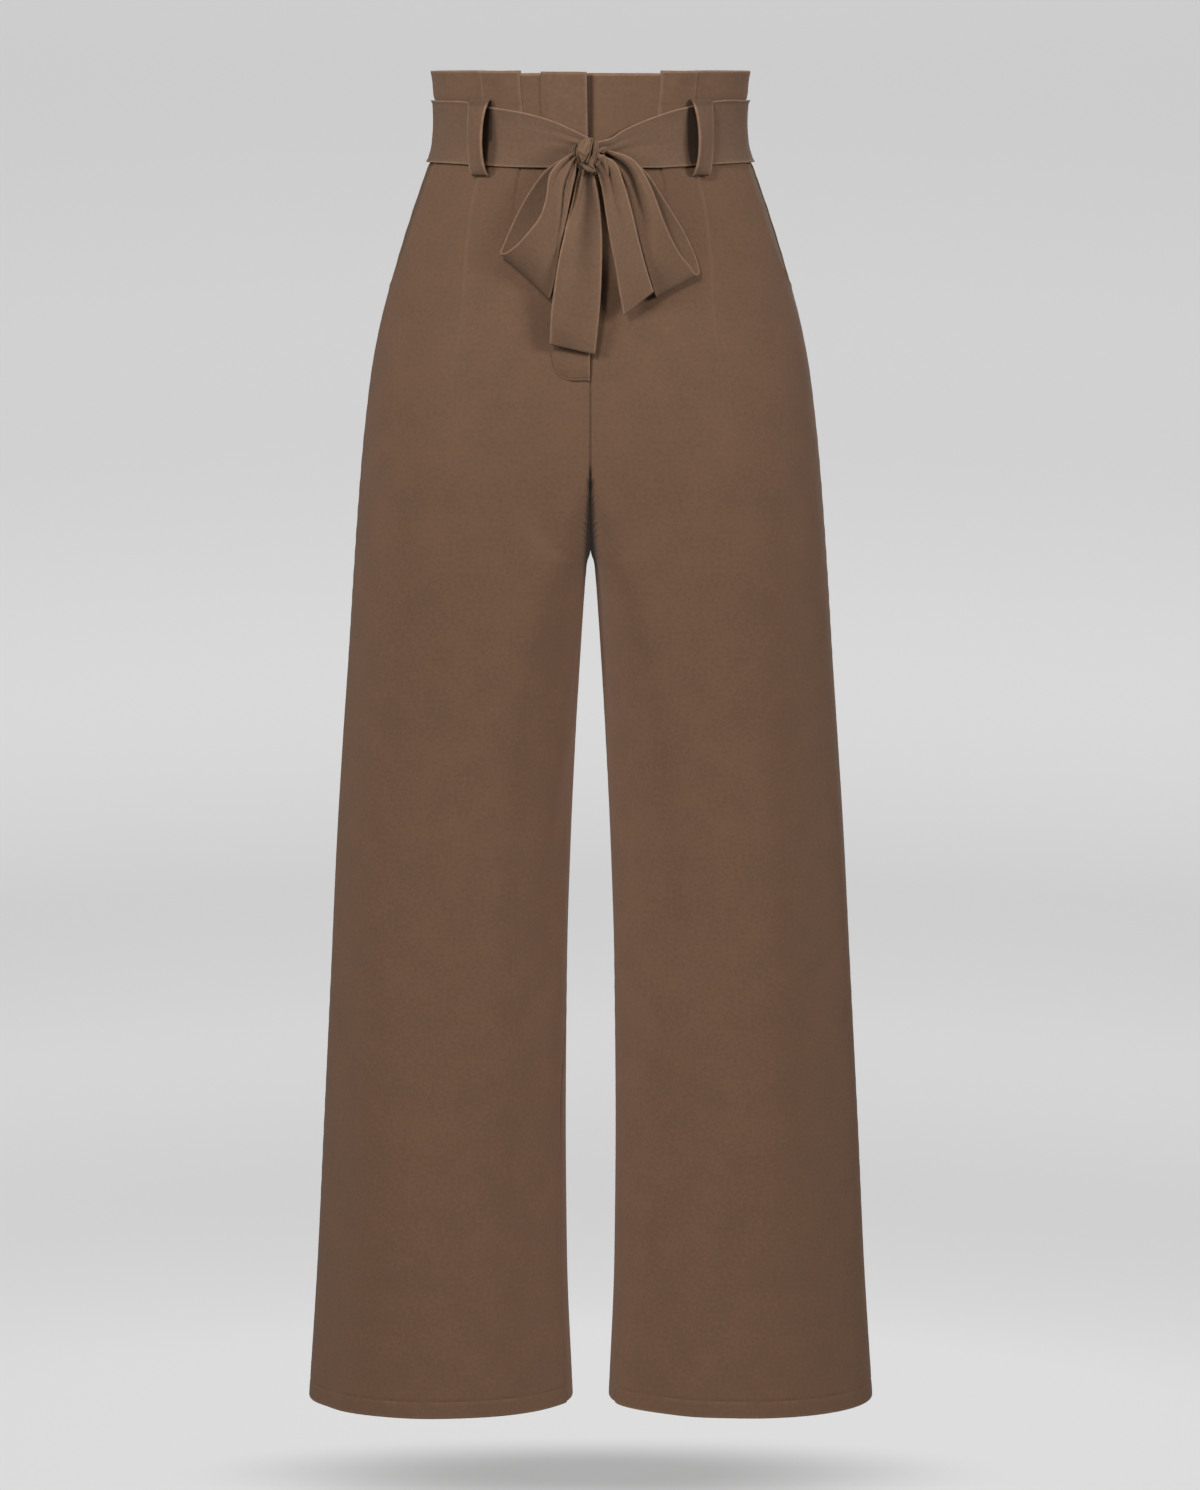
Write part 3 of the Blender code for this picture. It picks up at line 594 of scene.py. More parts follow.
def skin_point(height, share, facing, side):
    """The body's point at a height and share of the half section. Past 1 it lies on the other facing."""
    length = section_length(height, facing)
    if share > 1:
        over = (share - 1) * length
        facing = OTHER_FACING[facing]
        share = 1 - over / section_length(height, facing)
    points, lengths = half_section(float(height), facing)
    x, y = (np.interp(share * lengths[-1], lengths, points[:, axis]) for axis in (0, 1))
    if share == 0:
        y = FACINGS[facing] * SEAM_GAP / 2
    if share == 1 and height <= CROTCH_HEIGHT:
        y += FACINGS[facing] * SEAM_GAP / 2
    return (SIDES[side] * max(x, SEAM_GAP / 2) * MM, y * MM, height * MM)


def share_at(height, x, facing):
    """The share of the way from the side seam at which the body is x from the middle."""
    points, lengths = half_section(float(height), facing)
    return float(np.interp(-x, -points[:, 0], lengths)) / lengths[-1]


def share_of_length(height, length, facing):
    """A distance from the side seam as a share of the half section."""
    return length / section_length(height, facing)


def unit(vectors):
    """The same directions, each 1 long."""
    return vectors / np.maximum(np.linalg.norm(vectors, axis=-1, keepdims=True), 1e-12)


def skin_grid(heights, shares, facing, side):
    """A grid of points on the body, from the top down and from the side seam inwards."""
    rows = zip(heights, shares)
    return np.array([[skin_point(*place, facing, side) for place in zip(*row)] for row in rows])


def outward_normals(grid, facing, side):
    """The way out of the cloth at each point of such a grid."""
    normals = np.cross(np.gradient(grid, axis=1), np.gradient(grid, axis=0))
    return unit(normals * -FACINGS[facing] * SIDES[side])


def level_normals(grid, facing, side):
    """The same, kept level."""
    normals = np.cross(np.gradient(grid, axis=1), (0, 0, -1))
    return unit(normals * -FACINGS[facing] * SIDES[side])


def mix_colours(tree, share, first, second):
    """The first colour where the share is 0 and the second where it is 1."""
    node = add_node(tree, "ShaderNodeMix", data_type="RGBA", clamp_factor=True)
    return set_inputs(tree, node, {"Factor": share, "A": first, "B": second}).outputs["Result"]


def weave_group():
    """Crepe: a fine broken twill over a pebbled ground, and slow drifts between two shades."""
    tree = bpy.data.node_groups.new("crepe_weave", "ShaderNodeTree")
    for name, kind, default in (
        ("Cloth", "NodeSocketVector", None),
        ("Colour", "NodeSocketColor", CREPE_COLOUR),
        ("Dark Colour", "NodeSocketColor", CREPE_DARK),
        ("Worn Colour", "NodeSocketColor", CREPE_LIT_AND_WORN),
        ("Painted_Light_And_Wear", "NodeSocketFloat", 0.0),
        ("Pitch", "NodeSocketFloat", CREPE_PITCH),
        ("Roughness", "NodeSocketFloat", CREPE_ROUGHNESS),
    ):
        socket = tree.interface.new_socket(name, in_out="INPUT", socket_type=kind)
        if default is not None:
            socket.default_value = default
    for name, kind in (
        ("Colour", "NodeSocketColor"),
        ("Roughness", "NodeSocketFloat"),
        ("Height", "NodeSocketFloat"),
    ):
        tree.interface.new_socket(name, in_out="OUTPUT", socket_type=kind)
    given = add_node(tree, "NodeGroupInput").outputs

    def maths(operation, *values):
        return add_node(tree, "ShaderNodeMath", dict(enumerate(values)), operation=operation).outputs[0]

    def noise(scale, detail, roughness):
        inputs = {"Vector": given["Cloth"], "Scale": scale, "Detail": detail, "Roughness": roughness}
        return add_node(tree, "ShaderNodeTexNoise", inputs).outputs["Fac"]

    def threads(run, slant_along, slant, turns, shift):
        """Waves of thread across the cloth, on a slant."""
        line = maths("DIVIDE", maths("MULTIPLY_ADD", slant_along, slant, run), given["Pitch"])
        return maths("SINE", maths("MULTIPLY_ADD", line, 2 * math.pi * turns, shift))

    parts = add_node(tree, "ShaderNodeSeparateXYZ", {0: given["Cloth"]})
    across, along = parts.outputs["X"], parts.outputs["Y"]
    wander = maths("MULTIPLY", noise(*WANDER_NOISE), WANDER)
    twill = threads(across, along, TWILL_SLANT, 1, wander)
    weft = threads(along, across, WEFT_SLANT, WEFT_COUNT, maths("MULTIPLY", wander, WEFT_WANDER))
    woven = maths("MULTIPLY_ADD", twill, TWILL_HEIGHT, maths("MULTIPLY", weft, WEFT_HEIGHT))
    pebbles = maths("MULTIPLY_ADD", noise(*PEBBLE_NOISE), PEBBLE_HEIGHT, -PEBBLE_HEIGHT / 2)
    height = maths("ADD", woven, pebbles)

    drift = maths("MULTIPLY_ADD", noise(*DRIFT_NOISE), *DRIFT_RANGE)
    mottle = maths("MULTIPLY_ADD", noise(*MOTTLE_NOISE), *MOTTLE_RANGE)
    shade = maths("ADD", maths("ADD", drift, mottle), maths("MULTIPLY", height, WEAVE_SHADE))
    ground = mix_colours(tree, shade, given["Dark Colour"], given["Colour"])
    # The wear input paints light and shade into the colour: above 0 it goes toward the lighter brown, as
    # painted highlight and rubbing, and below 0 the colour is darkened, as painted shade.
    rubbing_and_painted_light = maths("MULTIPLY", given["Painted_Light_And_Wear"], maths("MULTIPLY_ADD", noise(*LIT_AND_RUBBED_NOISE), *LIT_AND_RUBBED_RANGE))
    wear_and_painted_light = mix_colours(tree, rubbing_and_painted_light, ground, given["Worn Colour"])
    in_shade = maths("MINIMUM", maths("ADD", given["Painted_Light_And_Wear"], 1), 1)
    sunk = add_node(tree, "ShaderNodeVectorMath", {0: wear_and_painted_light, "Scale": in_shade}, operation="SCALE")
    rough = maths("MULTIPLY_ADD", height, WEAVE_ROUGHNESS, given["Roughness"])
    made = {"Colour": sunk.outputs["Vector"], "Roughness": rough, "Height": height}
    add_node(tree, "NodeGroupOutput", made)
    return tree


crepe_weave = weave_group()


def crepe_material(name, tint=(1.0, 1.0, 1.0)):
    """The trousers' crepe on a piece's own cloth coordinates. tint shifts its colour a little."""
    material, tree = new_material(name)
    cloth = {
        "Cloth": add_node(tree, "ShaderNodeUVMap", uv_map="Cloth").outputs["UV"],
        "Colour": (*np.multiply(CREPE_COLOUR[:3], tint), 1),
        "Dark Colour": (*np.multiply(CREPE_DARK[:3], tint), 1),
        # Each point's wear with its painted light and shade, read from the mesh.
        "Painted_Light_And_Wear": add_node(tree, "ShaderNodeAttribute", attribute_name="wear_and_painted_light").outputs["Fac"],
    }
    weave = add_node(tree, "ShaderNodeGroup", cloth, node_tree=crepe_weave).outputs
    relief = {"Strength": CREPE_BUMP, "Distance": CREPE_BUMP_DISTANCE, "Height": weave["Height"]}
    looks = {
        "Base Color": weave["Colour"],
        "Roughness": weave["Roughness"],
        "Normal": add_node(tree, "ShaderNodeBump", relief).outputs["Normal"],
        "Sheen Weight": CREPE_SHEEN,
        "Sheen Roughness": CREPE_SHEEN_ROUGHNESS,
        "Specular IOR Level": CREPE_SPECULAR,
    }
    set_inputs(tree, tree.nodes["Principled BSDF"], looks)
    return material


trouser_crepe = crepe_material("trouser_crepe")


def piece_from_mesh(name, mesh, node, material):
    """An object of a finished mesh that stands for a solid and moves with it."""
    mesh.materials.clear()
    mesh.materials.append(material)
    mesh.shade_smooth()
    piece = add_object(name, mesh)
    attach(piece, "root")
    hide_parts(node)
    return piece


def mark_cloth(mesh, places, wear_and_painted_light):
    """Gives each point of a mesh its place on the cloth, as a UV map, and its wear and painted light and
    shade.
    """
    corners = np.empty(len(mesh.loops), np.int32)
    mesh.loops.foreach_get("vertex_index", corners)
    layer = mesh.uv_layers.new(name="Cloth")
    layer.data.foreach_set("uv", places[corners].ravel())
    light_and_shade_paint = mesh.attributes.new("wear_and_painted_light", "FLOAT", "POINT")
    light_and_shade_paint.data.foreach_set("value", wear_and_painted_light)


def wall_mesh(name, outer, inner, cloth_places, wear_and_painted_light):
    """A closed wall of cloth between two grids of points, with each one's place on the cloth, and its wear
    and painted light and shade.
    """
    rows, columns = outer.shape[:2]
    count = rows * columns
    index = np.arange(count).reshape(rows, columns)
    quads = np.stack([index[:-1, :-1], index[:-1, 1:], index[1:, 1:], index[1:, :-1]], axis=-1).reshape(-1, 4)
    rim = np.concatenate([index[0], index[1:, -1], index[-1, -2::-1], index[-2:0:-1, 0]])
    after = np.roll(rim, -1)
    rim_quads = np.stack([rim, rim + count, after + count, after], axis=-1)
    faces = np.concatenate([quads, quads[:, ::-1] + count, rim_quads])
    mesh = bpy.data.meshes.new(name)
    points = np.concatenate([outer.reshape(-1, 3), inner.reshape(-1, 3)])
    mesh.from_pydata(points, [], faces.tolist())
    shape = bmesh.new()
    shape.from_mesh(mesh)
    bmesh.ops.recalc_face_normals(shape, faces=shape.faces)
    shape.to_mesh(mesh)
    shape.free()
    mark_cloth(mesh, np.tile(cloth_places.reshape(-1, 2), (2, 1)), np.tile(wear_and_painted_light.ravel(), 2))
    return mesh


def panel_rows():
    """The heights of the panels' rows at the inner seam, and of those at the side seam."""
    edge = [RAISED_TOP - down for down in EDGE_ROWS]
    torso = np.arange(BELT_ROWS[-1] - TORSO_ROW_STEP, FORK_TOP + 1, -TORSO_ROW_STEP)
    turns = np.linspace(0, math.pi / 2, CROTCH_ROWS + 1)
    crotch = FORK_TOP - (FORK_TOP - CROTCH_HEIGHT) * np.sin(turns)
    leg = np.arange(FORK_BOTTOM, HEM_STITCH_HEIGHT + HEM_ROWS[0] + 2, -LEG_ROW_STEP)
    hem = [HEM_STITCH_HEIGHT + up for up in HEM_ROWS]
    at_seam = np.concatenate([edge, BELT_ROWS, torso, crotch, BELOW_CROTCH_ROWS, leg, hem])
    at_side = at_seam.copy()
    fork = (at_seam <= FORK_TOP) & (at_seam >= FORK_BOTTOM)
    at_side[fork] = np.linspace(FORK_TOP, FORK_BOTTOM, fork.sum())
    return at_seam, at_side


def mouth_share(height):
    """Where the pocket mouth cuts the front panel, as a share of the half section."""
    if not POCKET_MOUTH[-1][0] < height <= POCKET_MOUTH[0][0]:
        return 0
    length = read_table(POCKET_MOUTH, POCKET_MOUTH_COLUMNS, "from_side_seam", height)
    return share_of_length(height, length, "front")


def spread_over_fork(shares, height, facing):
    """Keeps the outer columns where they are while the crotch curve lengthens the section."""
    top, here, bottom = (section_length(at, facing) for at in (FORK_TOP, height, FORK_BOTTOM))
    even = top + (bottom - top) * ease(height, FORK_TOP, FORK_BOTTOM)
    held = shares * even / here
    fork = held[HELD_COLUMN]
    inner = (shares[HELD_COLUMN:] - shares[HELD_COLUMN]) / (1 - shares[HELD_COLUMN])
    return np.append(held[:HELD_COLUMN], fork + (1 - fork) * inner)


def inseam_share(height, facing):
    """Where the inner seam lies: past the section's end on the back panel and short of it on the front."""
    forward = read_table(INSEAM_FORWARD, INSEAM_FORWARD_COLUMNS, "forward", height)
    return 1 + (FACINGS[facing] * forward - SEAM_GAP / 2) / section_length(height, facing)


def pleat_edge(height, facing, side):
    """The share at which the pleat's outer edge lies. Below the belt it drifts toward the centre."""
    return PLEAT_OUTER_SHARE[facing, side] + PLEAT_DRIFT * ease(height, *PLEAT_DRIFT_HEIGHTS)


@functools.lru_cache(maxsize=None)
def main_shares(height, facing, side):
    """The panel's main columns at a height."""
    outer, inner, run = pleat_edge(height, facing, side), PLEAT_INNER_SHARE, PLEAT_FOLD_RUN
    folds = (outer - run, outer, (outer + inner) / 2, inner, inner + run)
    torso, crotch, leg = (np.array(COLUMNS[name], float) for name in ("torso", "crotch", "leg"))
    torso[PLEAT_COLUMNS] = folds
    heights = COLUMN_HEIGHTS
    shares = torso + (crotch - torso) * ease(height, heights["torso"], heights["crotch"])
    shares = shares + (leg - shares) * ease(height, heights["crotch"], heights["leg"])
    if FORK_BOTTOM < height < FORK_TOP:
        shares = spread_over_fork(shares, height, facing)
    mouth = mouth_share(height)
    if facing == "front" and mouth:
        shares[0] = mouth
        shares[1:3] = np.maximum(shares[1:3], np.add(mouth, POCKET_MOUTH_SHARES))
    if height < INSEAM_FORWARD[0][0]:
        shares = shares * inseam_share(height, facing)
    return shares


def fine_columns():
    """The fine columns' places among the main ones, and the tuck row that each follows, if any."""
    seam = np.array(SEAM_COLUMNS)
    start, end = TUCK_COLUMNS
    inner_start = 2 * PLEAT_MIDDLE - start
    outer = np.linspace(FIRST_FREE_COLUMN, start, (start - FIRST_FREE_COLUMN) * COLUMN_PARTS, endpoint=False)
    tuck = np.linspace(start, end, len(TUCK))
    band = np.linspace(end, 2 * PLEAT_MIDDLE - end, BAND_COLUMNS + 2)[1:-1]
    inner_end = LAST_COLUMN - FIRST_FREE_COLUMN
    inner = np.linspace(inner_start, inner_end, (inner_end - inner_start) * COLUMN_PARTS + 1)[1:]
    second_tuck = 2 * PLEAT_MIDDLE - tuck[::-1]
    places = np.concatenate([seam, outer, tuck, band, second_tuck, inner, LAST_COLUMN - seam[::-1]])
    first = len(seam) + len(outer)
    second = first + len(tuck) + len(band)
    tucks = np.full(len(places), -1)
    tucks[first : first + len(tuck)] = np.arange(len(tuck))
    tucks[second : second + len(tuck)] = np.arange(len(tuck))[::-1]
    return places, tucks


def fold_relief(name, shares, heights, lengths):
    """How far the hanging cloth's soft folds push each point out."""
    relief = np.zeros(heights.shape)
    for top_share, top, bottom_share, bottom, width, depth in FOLDS[name]:
        down = np.clip((top - heights) / (top - bottom), 0, 1)
        line = top_share + (bottom_share - top_share) * down
        sway = FOLD_SWAY * np.sin(down * FOLD_SWAY_TURN + top * FOLD_SWAY_START)
        fold = swell((shares - line - sway) * lengths, width)
        start = ease(heights, top, top + (bottom - top) * FOLD_TAPER)
        end = 1 if bottom <= HEM_HEIGHT else ease(heights, bottom, bottom + (top - bottom) * FOLD_TAPER)
        relief += depth * fold * start * end
    return relief


def seam_relief(from_seam, heights, phase):
    """The pull and pucker of a seam on the cloth beside it."""
    drift = SEAM_PUCKER_DRIFT * np.sin(heights / SEAM_PUCKER_DRIFT_STEP + phase)
    wave = np.sin(2 * math.pi * heights / SEAM_PUCKER_STEP + phase + drift)
    size = 1 - SEAM_PUCKER_SWELL + SEAM_PUCKER_SWELL * np.sin(heights / SEAM_PUCKER_SWELL_STEP + 2 * phase)
    away = from_seam / SEAM_PUCKER_WIDTH
    pucker = SEAM_PUCKER * wave * size * away * np.exp(1 - away)
    return pucker - SEAM_PINCH * swell(from_seam, SEAM_PINCH_WIDTH)


def beside_mouth(rows, facing):
    """Whether each row of a panel ends at the pocket mouth."""
    top, bottom = POCKET_MOUTH[0][0], POCKET_MOUTH[-1][0]
    return ((rows <= top) & (rows > bottom) & (facing == "front"))[:, None]


def panel_relief(facing, side, heights, shares, lengths, rows):
    """The whole relief of a panel: pressed pleat lines, drape, seams, pocket mouth and hem."""
    name = f"{facing}_{side}"
    along = shares * lengths
    side_seam = along - along[:, :1]
    inner_seam = along[:, -1:] - along
    from_outer = along - pleat_edge(heights, facing, side) * lengths
    from_inner = along - PLEAT_INNER_SHARE * lengths
    fade = 1 - ease(heights, PLEAT_FOLDED_HEIGHT, PLEAT_OUTER_END)
    inner_fade = 1 - ease(heights, PLEAT_FOLDED_HEIGHT, PLEAT_INNER_END)
    rise = ease(from_outer, -PRESSED_WIDTH, PRESSED_WIDTH)
    fall = ease(from_inner, PRESSED_WIDTH, -PRESSED_WIDTH)
    far_side = ease(from_outer, *PRESSED_FAR_SIDE)
    pressed = PRESSED_STEP * rise * fade * (inner_fade * fall + (1 - inner_fade) * far_side)
    ridge = PRESSED_RIDGE * swell(from_outer - PRESSED_WIDTH, PRESSED_WIDTH) * fade
    relief = pressed + ridge + fold_relief(name, shares, heights, lengths)

    phase = len(name) + FACINGS[facing] + 0.5 * SIDES[side]
    half_round = np.sqrt(np.clip(1 - (1 - side_seam / MOUTH_ROLL_WIDTH) ** 2, 0, 1))
    roll = MOUTH_ROLL * half_round - MOUTH_SINK
    roll *= swell(np.maximum(side_seam - MOUTH_ROLL_WIDTH, 0), MOUTH_ROLL_FADE)
    relief += np.where(beside_mouth(rows, facing), roll, seam_relief(side_seam, heights, phase))
    relief += seam_relief(inner_seam, heights, phase + 2)

    (slow, slow_step), (quick, quick_step) = HEM_PUCKERS
    pucker = 1 + slow * np.sin(along / slow_step) + quick * np.sin(along / quick_step + phase)
    return relief - HEM_GROOVE * swell(heights - HEM_STITCH_HEIGHT, HEM_GROOVE_WIDTH) * pucker


# Where the crepe is painted lighter, and over what width: a painted highlight and rubbing along its top and
# bottom folds, the pleat's folds and the pocket mouth, and painted light, more lightly, over the whole frill.
TOP_HIGHLIGHT_WIDTH = 0.9
HEM_HIGHLIGHT = 0.8
HEM_HIGHLIGHT_WIDTH = 1.2
TUCK_HIGHLIGHT = 0.32
TUCK_HIGHLIGHT_HEIGHTS = (0, 12)
FRILL_PAINTED_LIGHT = 0.15
FRILL_PAINTED_LIGHT_HEIGHTS = (-10, 20)
PRESSED_HIGHLIGHT = 0.35
MOUTH_HIGHLIGHT = 0.6
MOUTH_HIGHLIGHT_PLACE = 0.8
MOUTH_HIGHLIGHT_WIDTH = 0.9

# Where little light reaches it: beside the fly's lap, at the seams, and in the notch between the legs, which
# widens down to the crotch.
FLY_SHADE = {"right": (3.2, 0.65), "left": (2.4, 0.65)}
FLY_SHADE_HEIGHTS = (-45, -25)
SEAM_SHADE = 0.22
INNER_SEAM_SHADE = 0.45
INNER_SEAM_SHADE_TOP = -45
SEAM_SHADE_WIDTH = 0.8
NOTCH_TOP = -252
NOTCH_BOTTOM = -324
NOTCH_END = -372
NOTCH_HALF_WIDTHS = (0.6, 4.0)
NOTCH_SPREAD = 1.6
NOTCH_EDGE = (1.4, 0.8)
NOTCH_FADE = 0.2
NOTCH_SHADE = 0.85
DARKEST = -0.9


def notch_shade(outer):
    """How dark the notch above the crotch is at each point of a panel."""
    across, heights = abs(outer[..., 0]) / MM, outer[..., 2] / MM
    down = np.clip((NOTCH_TOP - heights) / (NOTCH_TOP - NOTCH_BOTTOM), 0, NOTCH_SPREAD)
    narrow, wide = NOTCH_HALF_WIDTHS
    width = narrow + (wide - narrow) * down
    deep = NOTCH_SHADE * ease(down, 0, NOTCH_FADE) * ease(heights, NOTCH_END, NOTCH_BOTTOM)
    return deep * ease(across, NOTCH_EDGE[0] * width, NOTCH_EDGE[1] * width)


def panel_wear_and_painted_light(facing, side, heights, along, lengths, rows, tucks):
    """How far each point of a panel is painted lighter, as highlight and rubbing, or, below 0, darker as
    painted shade.
    """
    wear_and_painted_light = swell(rows - RAISED_TOP, TOP_HIGHLIGHT_WIDTH) + HEM_HIGHLIGHT * swell(rows - HEM_HEIGHT, HEM_HIGHLIGHT_WIDTH)
    wear_and_painted_light = np.tile(wear_and_painted_light[:, None], (1, heights.shape[1]))
    on_fold = (tucks >= TUCK_FOLD[0]) & (tucks <= TUCK_FOLD[1])
    wear_and_painted_light += TUCK_HIGHLIGHT * on_fold * ease(heights, *TUCK_HIGHLIGHT_HEIGHTS)
    wear_and_painted_light += FRILL_PAINTED_LIGHT * ease(heights, *FRILL_PAINTED_LIGHT_HEIGHTS)
    from_line = along - pleat_edge(heights, facing, side) * lengths - PRESSED_WIDTH
    pressed = swell(from_line, PRESSED_WIDTH) * (1 - ease(heights, PLEAT_FOLDED_HEIGHT, PLEAT_OUTER_END))
    wear_and_painted_light += PRESSED_HIGHLIGHT * pressed * (heights < TUCK_OPEN_HEIGHT)
    if facing == "front":
        mouth = beside_mouth(rows, facing)
        from_mouth = along - along[:, :1]
        wear_and_painted_light += MOUTH_HIGHLIGHT * mouth * swell(from_mouth - MOUTH_HIGHLIGHT_PLACE, MOUTH_HIGHLIGHT_WIDTH)
        reach, depth = FLY_SHADE[side]
        wear_and_painted_light -= depth * swell(lengths - along, reach) * ease(heights, *FLY_SHADE_HEIGHTS)
        wear_and_painted_light -= SEAM_SHADE * ~mouth * swell(from_mouth, SEAM_SHADE_WIDTH)
    below = heights < INNER_SEAM_SHADE_TOP
    wear_and_painted_light -= INNER_SEAM_SHADE * below * swell(along[:, -1:] - along, SEAM_SHADE_WIDTH)
    return np.clip(wear_and_painted_light, DARKEST, 1)


def rim_share(rows):
    """How much of its wall a row keeps, close to the panel's two open edges."""
    above = (RAISED_TOP - rows) / (EDGE_WALL / MM / 2)
    below = (rows - HEM_HEIGHT) / (HEM_WALL / MM / 2)
    return rounded(np.minimum(above, below))[:, None]


def keep_to_seam(normals, side, crotch_row):
    """Turns the edge columns' normals, so that neither wall leans over its seam."""
    normals[:, 0, 1] = 0
    torso = normals[: crotch_row + 1, -1]
    torso[:, 0] = SIDES[side] * np.minimum(SIDES[side] * torso[:, 0], 0)
    normals[crotch_row:, -1, 1] *= INSEAM_LEVEL
    normals[:] = unit(normals)


def tuck_layers(facing, side, heights, shares, lengths, places, tucks):
    """The panel's shares with its tucks folded, how far each point is raised, and where the fold holds."""
    tuck = np.array(TUCK)
    tucked = tucks >= 0
    in_first = places < PLEAT_MIDDLE
    mirror = np.where(in_first, 1, -1)
    edge = np.where(in_first, PLEAT_OUTER_SHARE[facing, side], PLEAT_INNER_SHARE)
    held = 1 - ease(heights, PLEAT_FOLDED_HEIGHT, TUCK_OPEN_HEIGHT)
    folded = np.where(tucked, held, 0)
    folded_share = edge + mirror * tuck[tucks, 0] / lengths
    folded_shares = np.where(tucked, shares + (folded_share - shares) * folded, shares)
    band = (abs(places - PLEAT_MIDDLE) < BAND_REACH) & ~tucked
    over_band = np.clip((places - PLEAT_MIDDLE + BAND_REACH) / (2 * BAND_REACH), 0, 1)
    puff = 1 + BAND_PUFF * np.sin(math.pi * over_band) * ease(heights, *BAND_PUFF_HEIGHTS)
    raised = np.where(tucked, tuck[tucks, 1] * folded, 0) * MM
    raised = np.where(band, TUCK[-1][1] * puff * held * MM, raised)
    return folded_shares, raised, tucked | band, held


def edge_heights(heights, places, tucks):
    """Raises the top edge on the folded layers and outside them, and keeps it low at the centre."""
    tucked = tucks >= 0
    reach = np.where(tucked & (places >= PLEAT_MIDDLE), np.array(TUCK)[tucks, 2], 1)
    reach = np.where((places > PLEAT_MIDDLE + BAND_REACH) & ~tucked, 0, reach)
    top = RECESSED_TOP + (RAISED_TOP - RECESSED_TOP) * reach
    floor = RAISED_TOP - EDGE_ROWS[-1]
    from_floor = np.clip((heights - floor) / (RAISED_TOP - floor), 0, None)
    return np.where(heights > floor, floor + from_floor * (top - floor), heights)


def make_panel(facing, side):
    """A whole front or back leg, from the paperbag edge to the hem, with its pleat."""
    name = f"{facing}_{side}"
    rows, side_rows = panel_rows()
    places, tucks = fine_columns()
    heights = side_rows[:, None] + (rows - side_rows)[:, None] * ease(places, *FORK_COLUMNS)
    mains = np.arange(LAST_COLUMN + 1)
    lengths = np.array([[section_length(round(height, 3), facing) for height in row] for row in heights])
    open_shares = np.empty(heights.shape)
    for row, column in np.ndindex(heights.shape):
        shares = main_shares(round(heights[row, column], 3), facing, side)
        open_shares[row, column] = np.interp(places[column], mains, shares)
    shares, raised, pleated, held = tuck_layers(facing, side, heights, open_shares, lengths, places, tucks)
    heights = edge_heights(heights, places, tucks)

    normals = outward_normals(skin_grid(heights, open_shares, facing, side), facing, side)
    relief = panel_relief(facing, side, heights, open_shares, lengths, rows) * MM
    relief = np.where(pleated, relief * (1 - held), relief)
    outer = skin_grid(heights, shares, facing, side) + normals * (raised + relief)[..., None]
    crotch_row = int(np.argmin(abs(rows - CROTCH_HEIGHT)))
    outer[: crotch_row + 1, -1, 0] = 0
    walls = outward_normals(outer, facing, side)
    keep_to_seam(walls, side, crotch_row)

    turned = ease(heights, *(RAISED_TOP - down for down in EDGE_TURN)) * ~pleated
    thick = PANEL_WALL + (EDGE_WALL - PANEL_WALL) * turned
    thick = np.where(heights < HEM_STITCH_HEIGHT, HEM_WALL, thick)[..., None]
    rim = thick * (1 - rim_share(rows)[..., None]) / 2
    inner = outer - walls * thick + walls * rim
    outer = outer - walls * rim
    inner[: crotch_row + 1, -1, 0] = 0
    cloth = np.stack([shares * lengths * MM, heights * MM], axis=-1)
    wear_and_painted_light = panel_wear_and_painted_light(facing, side, heights, open_shares * lengths, lengths, rows, tucks) - notch_shade(outer)
    return piece_from_mesh(f"{name}_leg", wall_mesh(name, outer, inner, cloth, wear_and_painted_light), name, trouser_crepe)


for facing in FACINGS:
    for side in SIDES:
        panel = make_panel(facing, side)

# The slant pockets: behind each mouth shows the side piece of the pocket, cut from the same crepe, one layer
# in from the front. It is caught in the side seam and sags a little behind the mouth's rolled edge.
POCKET_WALL = 0.6 * MM
POCKET_ROW_STEP = 3
POCKET_COLUMNS = 14
POCKET_REACH = 0.8
POCKET_SETBACK = 1.1
POCKET_SAG = 0.5
POCKET_SAG_WIDTH = 26
POCKET_SAG_TOP = -60
POCKET_PUCKER = 0.4
POCKET_DEEPEST = 0.6
# The side piece's crepe is a darker, more olive copy of the crepe: painted shade on the piece behind the
# mouth.
POCKET_SHADE_TINT = (0.86, 0.93, 0.93)

pocket_shaded_crepe = crepe_material("pocket_shaded_crepe", POCKET_SHADE_TINT)


